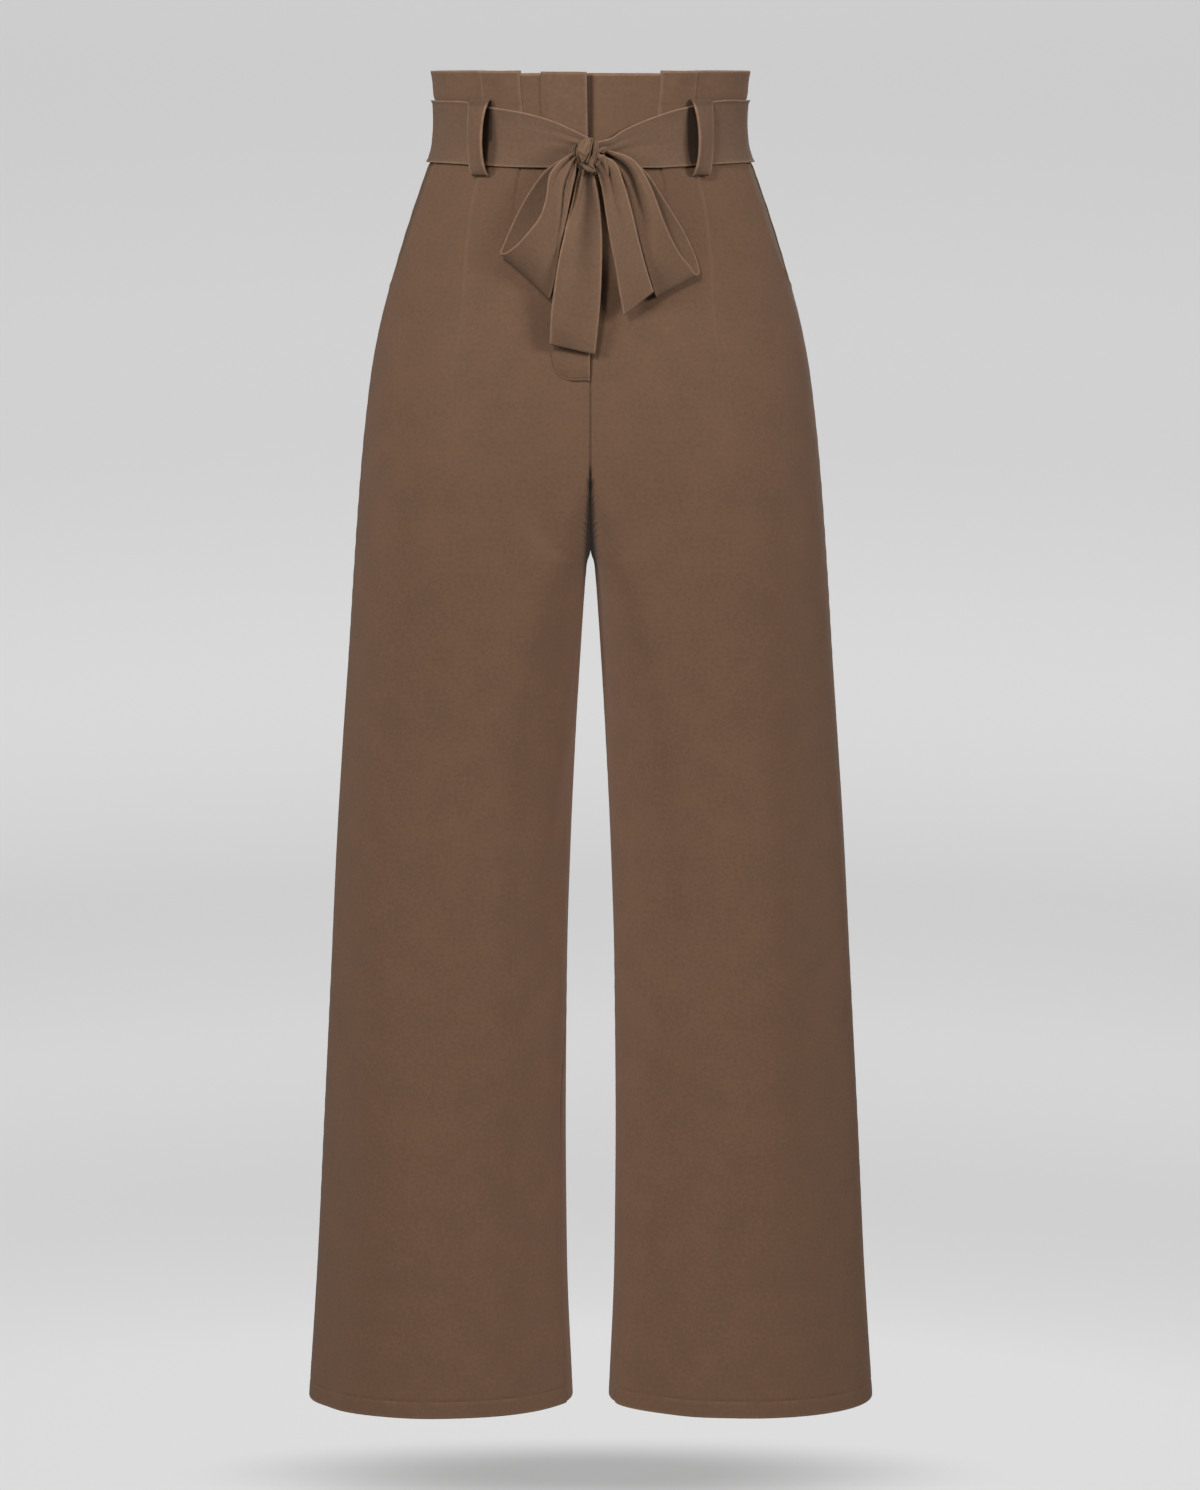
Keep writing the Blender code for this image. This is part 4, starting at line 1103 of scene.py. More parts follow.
def make_pocket(side):
    """The side piece behind a pocket mouth, from the side seam to just past the mouth."""
    top, bottom = POCKET_MOUTH[0][0], POCKET_BOTTOM
    rows = np.arange(top, bottom - 0.1, -POCKET_ROW_STEP)
    shares = []
    for height in rows:
        edge, second = main_shares(round(float(height), 3), "front", side)[:2]
        far = max(edge, share_of_length(height, 1, "front")) + (second - edge) * POCKET_REACH
        shares.append(np.linspace(0, far, POCKET_COLUMNS))
    shares = np.array(shares)
    heights = np.tile(rows[:, None], (1, POCKET_COLUMNS))
    grid = skin_grid(heights, shares, "front", side)
    normals = outward_normals(grid, "front", side)
    normals[:, 0, 1] = 0
    normals = unit(normals)
    along = shares * np.array([section_length(height, "front") for height in rows])[:, None]
    sag = np.sin(math.pi * np.clip(along / POCKET_SAG_WIDTH, 0, 1)) * ease(heights, bottom, POCKET_SAG_TOP)
    pucker = np.maximum(seam_relief(along, heights, SIDES[side]), -POCKET_DEEPEST)
    out = POCKET_PUCKER * pucker - POCKET_SETBACK - POCKET_SAG * sag
    outer = grid + normals * (out * MM)[..., None]
    inner = outer - normals * POCKET_WALL
    cloth = np.stack([along * MM, heights * MM], axis=-1)
    name = f"{side}_pocket_side"
    mesh = wall_mesh(name, outer, inner, cloth, np.zeros(heights.shape))
    return piece_from_mesh(name, mesh, f"pocket_{side}", pocket_shaded_crepe)


for side in SIDES:
    pocket = make_pocket(side)

# The fly: a folded lap of the same crepe over the right front, its fold at the centre, its other edge
# stitched down inside. It ends in a rounded foot.
FLY_COLUMNS = ("height", "fold", "edge")
FLY = (
    (47.9, 2.8, 38.4),
    (37, 2.6, 38.4),
    (27, 2.4, 38.2),
    (22, 2.3, 38.0),
    (8, 2.1, 37.4),
    (-8, 1.8, 36.6),
    (-20, 1.6, 36.0),
    (-27, 1.5, 35.8),
    (-38, 1.3, 35.3),
    (-53, 1.0, 34.7),
    (-88, 0.6, 33.3),
    (-123, 0.3, 31.9),
    (-150, 0.2, 31.0),
    (-170, 0.2, 30.0),
    (-181, 0.2, 28.0),
    (-187.6, 0.2, 23.0),
    (-191, 0.2, 14.0),
)
FLY_LIFT = 0.35
FLY_FOOT_LIFT = 0.06
FLY_STAND = 1.5
FLY_FOLD_THICK = 1.5
FLY_EDGE_THICK = 0.25
FLY_EDGE_RUN = 6
FLY_FOOT_RUN = 12
FLY_FOLD_ROUND = 0.9
FLY_THINNEST = 0.15
FLY_TOP_THINNEST = 0.2
FLY_LIFT_RUN = 25
FLY_STAND_RUN = 9
FLY_STAND_HEIGHTS = (-32, -12)
FLY_WAVE = 0.12
FLY_WAVE_STEP = 9
FLY_WAVE_RUN = (2, 20)
FLY_WAVE_HEIGHTS = (5, 30)
FLY_ROWS = 110
FLY_HIGHLIGHT = 0.45
FLY_HIGHLIGHT_PLACE = 0.5
FLY_HIGHLIGHT_WIDTH = 0.9
FLY_FRILL_PAINTED_LIGHT = 0.22
FLY_EDGE_STRIPS = (0, 0.006, 0.02, 0.045, 0.08, 0.14, 0.25, 0.4, 0.55)
FLY_STRIPS = FLY_EDGE_STRIPS + (0.7, 0.82, 0.9, 0.945, 0.97, 0.985, 0.995, 1)


def make_fly():
    """The lap over the right front. It is thick at its fold, thin at its other edge and flat at its foot."""
    heights = np.linspace(FLY[0][0], FLY[-1][0], FLY_ROWS)[:, None]
    across = np.array(FLY_STRIPS)
    fold, edge = (
        np.array([[read_table(FLY, FLY_COLUMNS, name, height)] for height in heights[:, 0]])
        for name in FLY_COLUMNS[1:]
    )
    places = edge + (fold - edge) * across
    heights = np.tile(heights, (1, len(across)))
    shares = [[share_at(height, x, "front") for height, x in zip(*row)] for row in zip(heights, places)]
    grid = skin_grid(heights, shares, "front", "right")
    normals = outward_normals(grid, "front", "right")
    from_fold, from_edge = places - fold, edge - places
    foot = heights - FLY[-1][0]

    thicker = ease(from_edge, 0, FLY_EDGE_RUN) * ease(foot, 0, FLY_FOOT_RUN)
    thick = FLY_EDGE_THICK + (FLY_FOLD_THICK - FLY_EDGE_THICK) * thicker
    top_round = np.maximum(rounded((FLY[0][0] - heights) / FLY_FOLD_ROUND), FLY_TOP_THINNEST)
    size = FLY_THINNEST + (1 - FLY_THINNEST) * rounded(from_fold / FLY_FOLD_ROUND) * top_round
    half = thick * size / 2
    lift = FLY_FOOT_LIFT + (FLY_LIFT - FLY_FOOT_LIFT) * ease(foot, 0, FLY_LIFT_RUN)
    stand = FLY_STAND * (1 - ease(from_fold, 0, FLY_STAND_RUN)) * ease(heights, *FLY_STAND_HEIGHTS)
    wave = FLY_WAVE * np.sin(heights / FLY_WAVE_STEP) * ease(from_edge, *FLY_WAVE_RUN)
    middle = lift + stand + thick / 2 + wave * ease(foot, *FLY_WAVE_HEIGHTS)
    outer = grid + normals * ((middle + half) * MM)[..., None]
    inner = grid + normals * ((middle - half) * MM)[..., None]

    cloth = np.stack([from_edge * MM, heights * MM], axis=-1)
    # The fold and the top edge are painted lighter, as highlight and rubbing, and the part in the frill a
    # little lighter again, as painted light.
    wear_and_painted_light = swell(from_fold - FLY_HIGHLIGHT_PLACE, FLY_HIGHLIGHT_WIDTH) + swell(heights - FLY[0][0], FLY_HIGHLIGHT_WIDTH)
    wear_and_painted_light = np.clip(wear_and_painted_light, 0, 1) * FLY_HIGHLIGHT + FLY_FRILL_PAINTED_LIGHT * ease(heights, *FRILL_PAINTED_LIGHT_HEIGHTS)
    mesh = wall_mesh("fly_lap", outer, inner, cloth, wear_and_painted_light)
    return piece_from_mesh("fly_lap", mesh, "fly_placket", trouser_crepe)


fly = make_fly()

# The belt: a flat tube of the crepe, turned and pressed, once round the waist. Where it runs into the knot
# it is drawn together in small creases. Its edges are thick from the turned seam.
BELT_THICK = 1.7
BELT_LIFT = 1.8
BELT_TOP = 24.6
BELT_BOTTOM = -23.4
BELT_FRONT_COLUMNS = ("x", "top", "bottom", "lift")
BELT_FRONT = {
    "right": (
        (0.8, -3.0, -26.0, 2.7),
        (14, 3.6, -26.4, 2.7),
        (31, 10.8, -26.4, 2.5),
        (52, 16.6, -26.2, 2.1),
        (77, 20.6, -25.2, 1.8),
        (101, 25.0, -23.9, 1.8),
        (118, 25.0, -23.4, 1.8),
    ),
    "left": (
        (0.8, -7.0, -25.0, 2.7),
        (15, -3.4, -26.0, 2.7),
        (25, 2.8, -26.4, 2.5),
        (45, 11.8, -26.6, 2.2),
        (71, 20.0, -25.6, 1.8),
        (104, 25.8, -23.8, 1.8),
        (118, 25.2, -23.4, 1.8),
    ),
}
BELT_END_X = 0.8
BELT_QUARTER_STATIONS = 130
BAND_STRIPS = (0, 0.35, 0.8, 1.4, 2.1, 3.0, 4.2)
BAND_MIDDLE_STRIPS = 17
BAND_EDGE_HALF = 0.12
BAND_EDGE_BEAD = 0.16
BAND_EDGE_BEAD_PLACE = 1.3
BAND_EDGE_BEAD_WIDTH = 0.7
BAND_EDGE_HIGHLIGHT = 0.9
BAND_EDGE_HIGHLIGHT_PLACE = 0.5
BAND_EDGE_HIGHLIGHT_WIDTH = 0.75
BELT_WAVE = 0.25
BELT_WAVE_STEP = 13
BELT_TINT = (1.02, 1.08, 1.14)

# Where a carrier keeps the light off the belt: side, top and bottom, and the ends' x.
TUNNEL_SHADE = 0.62
TUNNEL_EDGE = 0.5
TUNNEL_FADE = 6
TUNNELS = (("right", 25, -7, 75.0, 92), ("right", -7, -30, 77.4, 92), ("left", 25, -30, 73.6, 91))

# Creases of the belt beside the knot: shares of the belt's height far from the knot and at it, reach in x,
# half width as a share of the height, and depth.
CREASE_START_X = 8
BELT_CREASES = {
    "right": (
        (0.22, 0.20, 62, 0.05, -0.8),
        (0.45, 0.42, 44, 0.06, -1.0),
        (0.70, 0.66, 55, 0.05, -0.7),
        (0.34, 0.31, 30, 0.04, 0.6),
    ),
    "left": (
        (0.28, 0.26, 50, 0.05, -0.8),
        (0.55, 0.50, 66, 0.06, -1.0),
        (0.78, 0.75, 40, 0.05, -0.8),
        (0.42, 0.40, 34, 0.05, 0.6),
    ),
}

belt_crepe = crepe_material("belt_crepe", BELT_TINT)


def strips_across(width):
    """Places across a band of a width, close together at both edges."""
    edge = np.array(BAND_STRIPS) * min(1, width / (3 * BAND_STRIPS[-1]))
    middle = np.linspace(edge[-1], width - edge[-1], BAND_MIDDLE_STRIPS)[1:-1]
    return np.concatenate([edge, middle, width - edge[::-1]]) / width


def band_halves(from_edge, thick, bead=BAND_EDGE_BEAD, bead_place=BAND_EDGE_BEAD_PLACE):
    """Half the thickness of a turned band: rounded edges with a slight bead inside them."""
    flat = BAND_EDGE_HALF + (thick / 2 - BAND_EDGE_HALF) * rounded(from_edge / (thick / 2))
    return flat + bead * swell(from_edge - bead_place, BAND_EDGE_BEAD_WIDTH)


def band_edge_lightening(from_edge):
    """How far a turned band is painted lighter along its edges: a painted highlight and rubbing."""
    return BAND_EDGE_HIGHLIGHT * swell(from_edge - BAND_EDGE_HIGHLIGHT_PLACE, BAND_EDGE_HIGHLIGHT_WIDTH)


def belt_creases(side, x, across):
    """The drawn-in creases beside the knot, at one station of the belt."""
    relief = np.zeros(len(across))
    for place, at_knot, reach, spread, depth in BELT_CREASES[side]:
        line = at_knot + (place - at_knot) * min(x / reach, 1)
        relief += depth * (1 - ease(x, CREASE_START_X, reach)) * swell(across - line, spread)
    return relief


def tunnel_shade(side, x, heights):
    """How dark the belt is under the carriers, at one station of the belt."""
    dark = np.zeros(len(heights))
    for tunnel_side, high, low, start, end in TUNNELS:
        if tunnel_side == side:
            under = ease(x, start - TUNNEL_EDGE, start + TUNNEL_EDGE) - ease(x, end - TUNNEL_FADE, end)
            dark += TUNNEL_SHADE * under * (heights < high) * (heights >= low)
    return dark


def belt_quarter(facing, side):
    """A quarter of the belt, from the side seam to the centre: middle, normals, halves, cloth and wear."""
    in_front = facing == "front"
    shares = np.linspace(0, share_at(0, BELT_END_X, facing) if in_front else 1, BELT_QUARTER_STATIONS + 1)
    heights, out, halves, places, wear_and_painted_light = [], [], [], [], []
    for share in shares:
        top, bottom, lift = BELT_TOP, BELT_BOTTOM, BELT_LIFT
        x = abs(skin_point(0, share, facing, side)[0]) / MM
        if in_front:
            names = BELT_FRONT_COLUMNS[1:]
            top, bottom, lift = (read_table(BELT_FRONT[side], BELT_FRONT_COLUMNS, name, x) for name in names)
        width = top - bottom
        across = strips_across(width)
        from_edge = np.minimum(across, 1 - across) * width
        relief = BELT_WAVE * np.sin(x / BELT_WAVE_STEP + 2 * SIDES[side]) * np.sin(math.pi * across)
        # Its edges are painted lighter, as highlight and rubbing, and the belt under each carrier darker, as
        # painted shade.
        light_and_shade_paint = band_edge_lightening(from_edge)
        if in_front:
            relief += belt_creases(side, x, across)
            light_and_shade_paint -= tunnel_shade(side, x, top - width * across)
        heights.append(top - width * across)
        out.append(lift + BELT_THICK / 2 + relief)
        halves.append(band_halves(from_edge, BELT_THICK))
        places.append(across * width)
        wear_and_painted_light.append(light_and_shade_paint)
    strips = len(heights[0])
    grid = skin_grid(np.transpose(heights), np.tile(shares, (strips, 1)), facing, side)
    normals = level_normals(grid, facing, side)
    along = np.tile(shares * section_length(0, facing), (strips, 1))
    cloth = np.stack([along, np.transpose(places)], axis=-1) * MM
    middle = grid + normals * (np.transpose(out) * MM)[..., None]
    return middle, normals, np.transpose(halves) * MM, cloth, np.transpose(wear_and_painted_light)


def make_belt():
    """From behind the knot on the right, round the back, to behind the knot on the left."""
    parts = []
    for facing, side, kept in (
        ("front", "right", slice(None, 0, -1)),
        ("back", "right", slice(None, -1)),
        ("back", "left", slice(None, None, -1)),
        ("front", "left", slice(1, None)),
    ):
        parts.append([part[:, kept] for part in belt_quarter(facing, side)])
    middle, normals, halves, cloth, wear_and_painted_light = (np.concatenate(piece, axis=1) for piece in zip(*parts))
    outer = middle + normals * halves[..., None]
    inner = middle - normals * halves[..., None]
    mesh = wall_mesh("waist_belt", outer, inner, cloth, wear_and_painted_light)
    return piece_from_mesh("waist_belt", mesh, "belt", belt_crepe)


belt = make_belt()

# The belt carriers: narrow turned strips of the crepe that arch over the belt, sewn to the panel above and
# below it. Their path from the top down: height, how far the inner and outer edges lie off the panel, and
# width.
CARRIER_PATH = (
    (25.6, 2.1, 2.1, 15.2),
    (25.4, 3.4, 3.4, 15.2),
    (22.4, 6.4, 4.8, 15.0),
    (16.0, 10.2, 6.0, 14.6),
    (6.0, 13.4, 6.8, 14.2),
    (-5.0, 14.6, 7.2, 13.8),
    (-16.0, 13.6, 7.2, 13.4),
    (-24.4, 10.6, 6.8, 13.0),
    (-29.2, 7.2, 5.8, 12.8),
    (-31.6, 4.6, 4.4, 12.6),
    (-32.2, 2.6, 2.6, 12.6),
)
CARRIER_X = {"front": 84, "back": 74}
CARRIER_THICK = 1.5
CARRIER_TOP = (25.0, 21.0)
CARRIER_STATIONS = 54
CARRIER_EDGE_STRIPS = (0, 0.3, 0.7, 1.1, 1.5, 2.0, 2.7)
CARRIER_MIDDLE_STRIPS = 7
CARRIER_BEAD = 0.3
CARRIER_BEAD_PLACE = 1.1
CARRIER_TOP_SHADE = 0.2
CARRIER_TINT = (1.04, 1.08, 1.12)

carrier_crepe = crepe_material("carrier_crepe", CARRIER_TINT)


def smooth_path(points, stations):
    """Evenly spaced points on a smooth curve through the given ones."""
    points = np.array(points, float)
    along = distances(points)
    places = np.linspace(0, along[-1], stations)
    return np.array([[smooth_curve(at, along, column) for column in points.T] for at in places])


def make_carrier(facing, side):
    """One carrier, from its upper end over the belt to its lower end."""
    name = f"carrier_{facing}_{side}"
    path = smooth_path(CARRIER_PATH, CARRIER_STATIONS)
    edge = np.array(CARRIER_EDGE_STRIPS)
    shares, lifts, halves, places, wear_and_painted_light = [], [], [], [], []
    for height, inner_lift, outer_lift, width in path:
        middle = np.linspace(edge[-1], width - edge[-1], CARRIER_MIDDLE_STRIPS)[1:-1]
        across = np.concatenate([edge, middle, width - edge[::-1]])
        from_edge = np.minimum(across, width - across)
        shares.append([share_at(height, CARRIER_X[facing] + width / 2 - place, facing) for place in across])
        lifts.append(outer_lift + (inner_lift - outer_lift) * across / width + CARRIER_THICK / 2)
        halves.append(band_halves(from_edge, CARRIER_THICK, CARRIER_BEAD, CARRIER_BEAD_PLACE))
        places.append(across)
        # Its edges are painted lighter, as highlight and rubbing, and its top end is painted darker, as
        # shade.
        light_and_shade_paint = band_edge_lightening(from_edge) * ease(height, *CARRIER_TOP)
        wear_and_painted_light.append(light_and_shade_paint - CARRIER_TOP_SHADE * (height > CARRIER_TOP[1]))
    heights = np.tile(path[:, :1], (1, len(places[0])))
    grid = skin_grid(heights, shares, facing, side)
    middle = grid + level_normals(grid, facing, side) * np.array(lifts)[..., None] * MM
    normals = outward_normals(middle, facing, side)
    half = np.array(halves)[..., None] * MM
    run = np.tile(distances(path[:, :2])[:, None], (1, len(places[0])))
    cloth = np.stack([np.array(places), run], axis=-1) * MM
    mesh = wall_mesh(name, middle + normals * half, middle - normals * half, cloth, np.array(wear_and_painted_light))
    return piece_from_mesh(name, mesh, f"belt_{name}", carrier_crepe)


for facing in FACINGS:
    for side in SIDES:
        carrier = make_carrier(facing, side)

# The bow's two loops: each is one stretch of the belt, from the knot along the back layer, round the fold at
# the loop's low end and back along the front layer. Points are x, y and z along its two edges.
RIBBON_THICK = 1.6
BOW_LOOP_STATIONS = 110
BOW_LOOPS = {
    "right": {
        "outer": (
            (-12.5, -92.5, -13.5), (-19.0, -92.3, -17.5), (-33.0, -92.4, -26.5), (-46.5, -93.4, -43.3),
            (-58.1, -94.6, -64.1), (-68.4, -97.0, -87.4), (-70.2, -99.3, -91.6), (-67.4, -102.6, -91.6),
            (-58.1, -108.0, -85.8), (-47.6, -111.6, -74.5), (-37.9, -112.2, -60.6), (-34.2, -110.6, -47.5),
            (-32.0, -107.2, -32.2), (-22.1, -103.0, -19.5), (-12.5, -100.4, -13.6),
        ),
        "inner": (
            (-10.8, -92.5, -21.5), (-11.2, -92.6, -30.5), (-14.2, -94.0, -46.0), (-19.0, -97.6, -70.0),
            (-23.6, -101.2, -98.0), (-29.2, -104.6, -123.4), (-30.8, -106.6, -127.4), (-30.2, -108.8, -124.6),
            (-27.6, -109.8, -114.6), (-24.8, -110.2, -97.0), (-21.6, -109.6, -80.0), (-17.9, -107.6, -62.2),
            (-13.6, -104.4, -41.0), (-11.0, -101.8, -28.6), (-10.4, -100.4, -23.0),
        ),
    },
    "left": {
        "outer": (
            (6.5, -92.0, -11.5), (16.5, -91.8, -13.0), (30.5, -92.4, -18.7), (45.7, -93.0, -32.2),
            (54.5, -92.8, -45.7), (64.4, -92.2, -61.5), (74.2, -91.6, -78.2), (83.0, -91.6, -98.7),
            (85.0, -93.0, -107.6), (82.5, -96.2, -108.4), (77.0, -99.6, -101.5), (70.2, -103.0, -93.3),
            (63.2, -106.4, -80.9), (56.3, -108.6, -65.0), (49.5, -109.0, -46.4), (42.0, -107.6, -30.7),
            (31.9, -104.6, -18.4), (18.8, -99.8, -13.6), (6.5, -98.0, -12.0),
        ),
        "inner": (
            (6.5, -92.0, -20.0), (13.0, -92.0, -26.5), (20.0, -93.2, -38.0), (27.0, -95.6, -55.0),
            (33.0, -98.2, -73.0), (39.0, -100.6, -92.0), (45.0, -102.6, -110.0), (49.4, -103.8, -122.8),
            (50.8, -105.6, -126.2), (49.6, -107.4, -123.4), (46.0, -108.2, -112.0), (41.0, -108.4, -95.0),
            (36.0, -108.0, -77.0), (31.0, -106.8, -60.0), (26.0, -105.0, -45.0), (20.0, -102.4, -33.0),
            (15.0, -100.2, -27.0), (11.0, -98.8, -23.5), (6.5, -98.0, -21.0),
        ),
    },
}

# Creases of a ribbon: share of the width at both ends, both ends as shares of its length, half width as a
# share of the width, depth and shade. Positive depths stand out of the bow. Negative shades are darker.
CREASE_FADE = 0.1
LOOP_CREASES = {
    "right": (
        (0.50, 0.97, 1.02, 0.60, 0.035, -2.6, -0.55),
        (0.43, 0.91, 1.02, 0.58, 0.05, 1.3, 0.10),
        (0.26, 0.24, 1.02, 0.78, 0.06, -1.6, -0.20),
        (0.14, 0.16, 1.02, 0.84, 0.05, 1.0, 0),
        (0.74, 0.80, 1.02, 0.84, 0.05, -1.0, -0.30),
        (0.35, 0.30, -0.02, 0.30, 0.10, -1.6, -0.20),
        (0.66, 0.70, -0.02, 0.26, 0.09, 1.2, 0),
        (0.15, 0.15, 0.08, 0.44, 0.22, 0, -0.30),
        (0.50, 0.50, 0.50, 0.62, 0.80, 0, -0.22),
    ),
    "left": (
        (0.30, 0.74, 1.03, 0.62, 0.14, -5.6, -0.80),
        (0.12, 0.34, 1.02, 0.70, 0.06, 1.0, 0),
        (0.72, 0.90, 1.02, 0.74, 0.06, -1.5, -0.20),
        (0.30, 0.42, 0.84, 0.52, 0.15, 1.2, 0),
        (0.35, 0.30, -0.02, 0.28, 0.10, -1.2, -0.20),
        (0.68, 0.72, -0.02, 0.24, 0.08, 0.9, 0),
        (0.12, 0.12, 0.10, 0.42, 0.20, 0, -0.20),
        (0.80, 0.70, 0.50, 0.64, 0.35, 0, -0.22),
    ),
}
LOOP_OUT = {"right": 1, "left": -1}
RIBBON_WAVE = 0.22
RIBBON_WAVES_ALONG = 9
RIBBON_WAVES_ACROSS = 3
RIBBON_END_THINNEST = 0.15
BOW_TINT = (1.08, 1.12, 1.14)

bow_crepe = crepe_material("bow_crepe", BOW_TINT)


def ribbon_mesh(name, edges, stations, creases, out, open_end):
    """A turned band between two edge curves. open_end rounds the cut end that hangs free."""
    outer, inner = (smooth_path(edges[edge], stations) for edge in ("outer", "inner"))
    widths = np.linalg.norm(outer - inner, axis=1)
    across = np.array([strips_across(width) for width in widths])
    from_edge = np.minimum(across, 1 - across) * widths[:, None]
    run = distances((outer + inner) / 2)
    along = (run / run[-1])[:, None]
    relief = np.sin(RIBBON_WAVES_ALONG * along + RIBBON_WAVES_ACROSS * across)
    relief = RIBBON_WAVE * relief * np.sin(math.pi * across)
    shaded = np.zeros(across.shape)
    for start_across, end_across, start, end, width, depth, shade in creases:
        down = np.clip((along - start) / (end - start), 0, 1)
        line = start_across + (end_across - start_across) * down
        begun = np.sign(end - start) * (along - start) > 0
        crease = ease(down, 1, CREASE_FADE) * begun * swell(across - line, width)
        relief, shaded = relief + depth * crease, shaded + shade * crease

    middle = outer[:, None] + (inner - outer)[:, None] * across[..., None]
    normals = unit(np.cross(np.gradient(middle, axis=1), np.gradient(middle, axis=0)))
    middle = middle + normals * out * relief[..., None]
    normals = unit(np.cross(np.gradient(middle, axis=1), np.gradient(middle, axis=0)))
    halves = band_halves(from_edge, RIBBON_THICK)
    # Its edges and cut end are painted lighter, as highlight and rubbing, and its creases carry their painted
    # light and shade.
    wear_and_painted_light = band_edge_lightening(from_edge) + shaded
    if open_end:
        from_end = (run[-1] - run)[:, None]
        round_end = rounded(from_end / (RIBBON_THICK / 2))
        halves = halves * (RIBBON_END_THINNEST + (1 - RIBBON_END_THINNEST) * round_end)
        wear_and_painted_light = wear_and_painted_light + band_edge_lightening(from_end) * (1 - np.clip(wear_and_painted_light, 0, 1))
    half = normals * halves[..., None]
    cloth = np.stack([across * widths[:, None], np.tile(run[:, None], (1, across.shape[1]))], axis=-1)
    return wall_mesh(name, (middle + half) * MM, (middle - half) * MM, cloth * MM, wear_and_painted_light)


for side in SIDES:
    name = f"bow_loop_{side}_ribbon"
    mesh = ribbon_mesh(name, BOW_LOOPS[side], BOW_LOOP_STATIONS, LOOP_CREASES[side], LOOP_OUT[side], False)
    loop = piece_from_mesh(name, mesh, f"bow_loop_{side}", bow_crepe)

# The belt's two hanging ends, from the knot down: turned bands of the crepe, creased along their length by
# the knot and cut off on a slant. Points are x, y and z along their two edges.
TAIL_STATIONS = 90
TAILS = {
    "right": {
        "outer": (
            (-8.6, -97.6, -27.0), (-11.6, -98.6, -37.0), (-14.2, -101.6, -50.0), (-17.6, -106.4, -64.1),
            (-20.9, -111.6, -79.9), (-24.4, -114.6, -95.2), (-27.5, -115.4, -114.5), (-30.6, -114.6, -140.7),
            (-31.6, -112.4, -162.0),
        ),
        "inner": (
            (2.6, -98.8, -27.6), (4.4, -99.8, -36.0), (7.3, -103.6, -52.0), (8.7, -106.4, -67.0),
            (9.2, -109.0, -84.0), (9.0, -110.8, -100.0), (8.0, -112.2, -125.3), (5.7, -112.4, -151.6),
            (3.7, -111.4, -170.0),
        ),
    },
    "left": {
        "outer": (
            (5.8, -102.8, -14.5), (19.6, -106.4, -22.0), (26.4, -110.0, -39.0), (31.4, -112.2, -56.0),
            (37.7, -113.8, -82.0), (43.5, -114.0, -103.6), (49.0, -113.0, -121.4),
        ),
        "inner": (
            (4.6, -102.8, -25.5), (9.2, -106.2, -44.0), (11.6, -108.4, -60.0), (15.0, -110.8, -80.0),
            (19.6, -112.2, -104.0), (22.6, -112.4, -123.3), (26.0, -111.6, -139.9),
        ),
    },
}

TAIL_CREASES = {
    "right": (
        (0.34, 0.05, -0.02, 0.42, 0.055, 2.0, 0.10),
        (0.22, 0.00, -0.02, 0.36, 0.05, -1.8, -0.35),
        (0.58, 0.56, -0.02, 0.74, 0.16, -1.6, -0.60),
        (0.80, 0.78, -0.02, 0.95, 0.13, -1.8, -0.20),
        (0.36, 0.40, 0.30, 1.30, 0.20, 0.8, 0),
        (0.30, 0.30, 1.02, 0.86, 0.35, 0, -0.20),
    ),
    "left": (
        (0.40, 0.58, -0.02, 0.50, 0.09, -2.4, -0.25),
        (0.20, 0.24, -0.02, 0.46, 0.08, 1.2, 0),
        (0.75, 0.80, -0.02, 0.40, 0.07, 1.3, 0),
        (0.80, 0.74, 0.02, 0.28, 0.12, -1.6, -0.50),
        (0.92, 0.98, -0.02, 0.30, 0.06, -1.2, -0.20),
        (0.30, 0.26, 0.35, 1.30, 0.16, 0.7, 0),
    ),
}
TAIL_OUT = {"right": -1, "left": 1}

for side in SIDES:
    name = f"tail_{side}_ribbon"
    mesh = ribbon_mesh(name, TAILS[side], TAIL_STATIONS, TAIL_CREASES[side], TAIL_OUT[side], True)
    tail = piece_from_mesh(name, mesh, f"tail_{side}", bow_crepe)

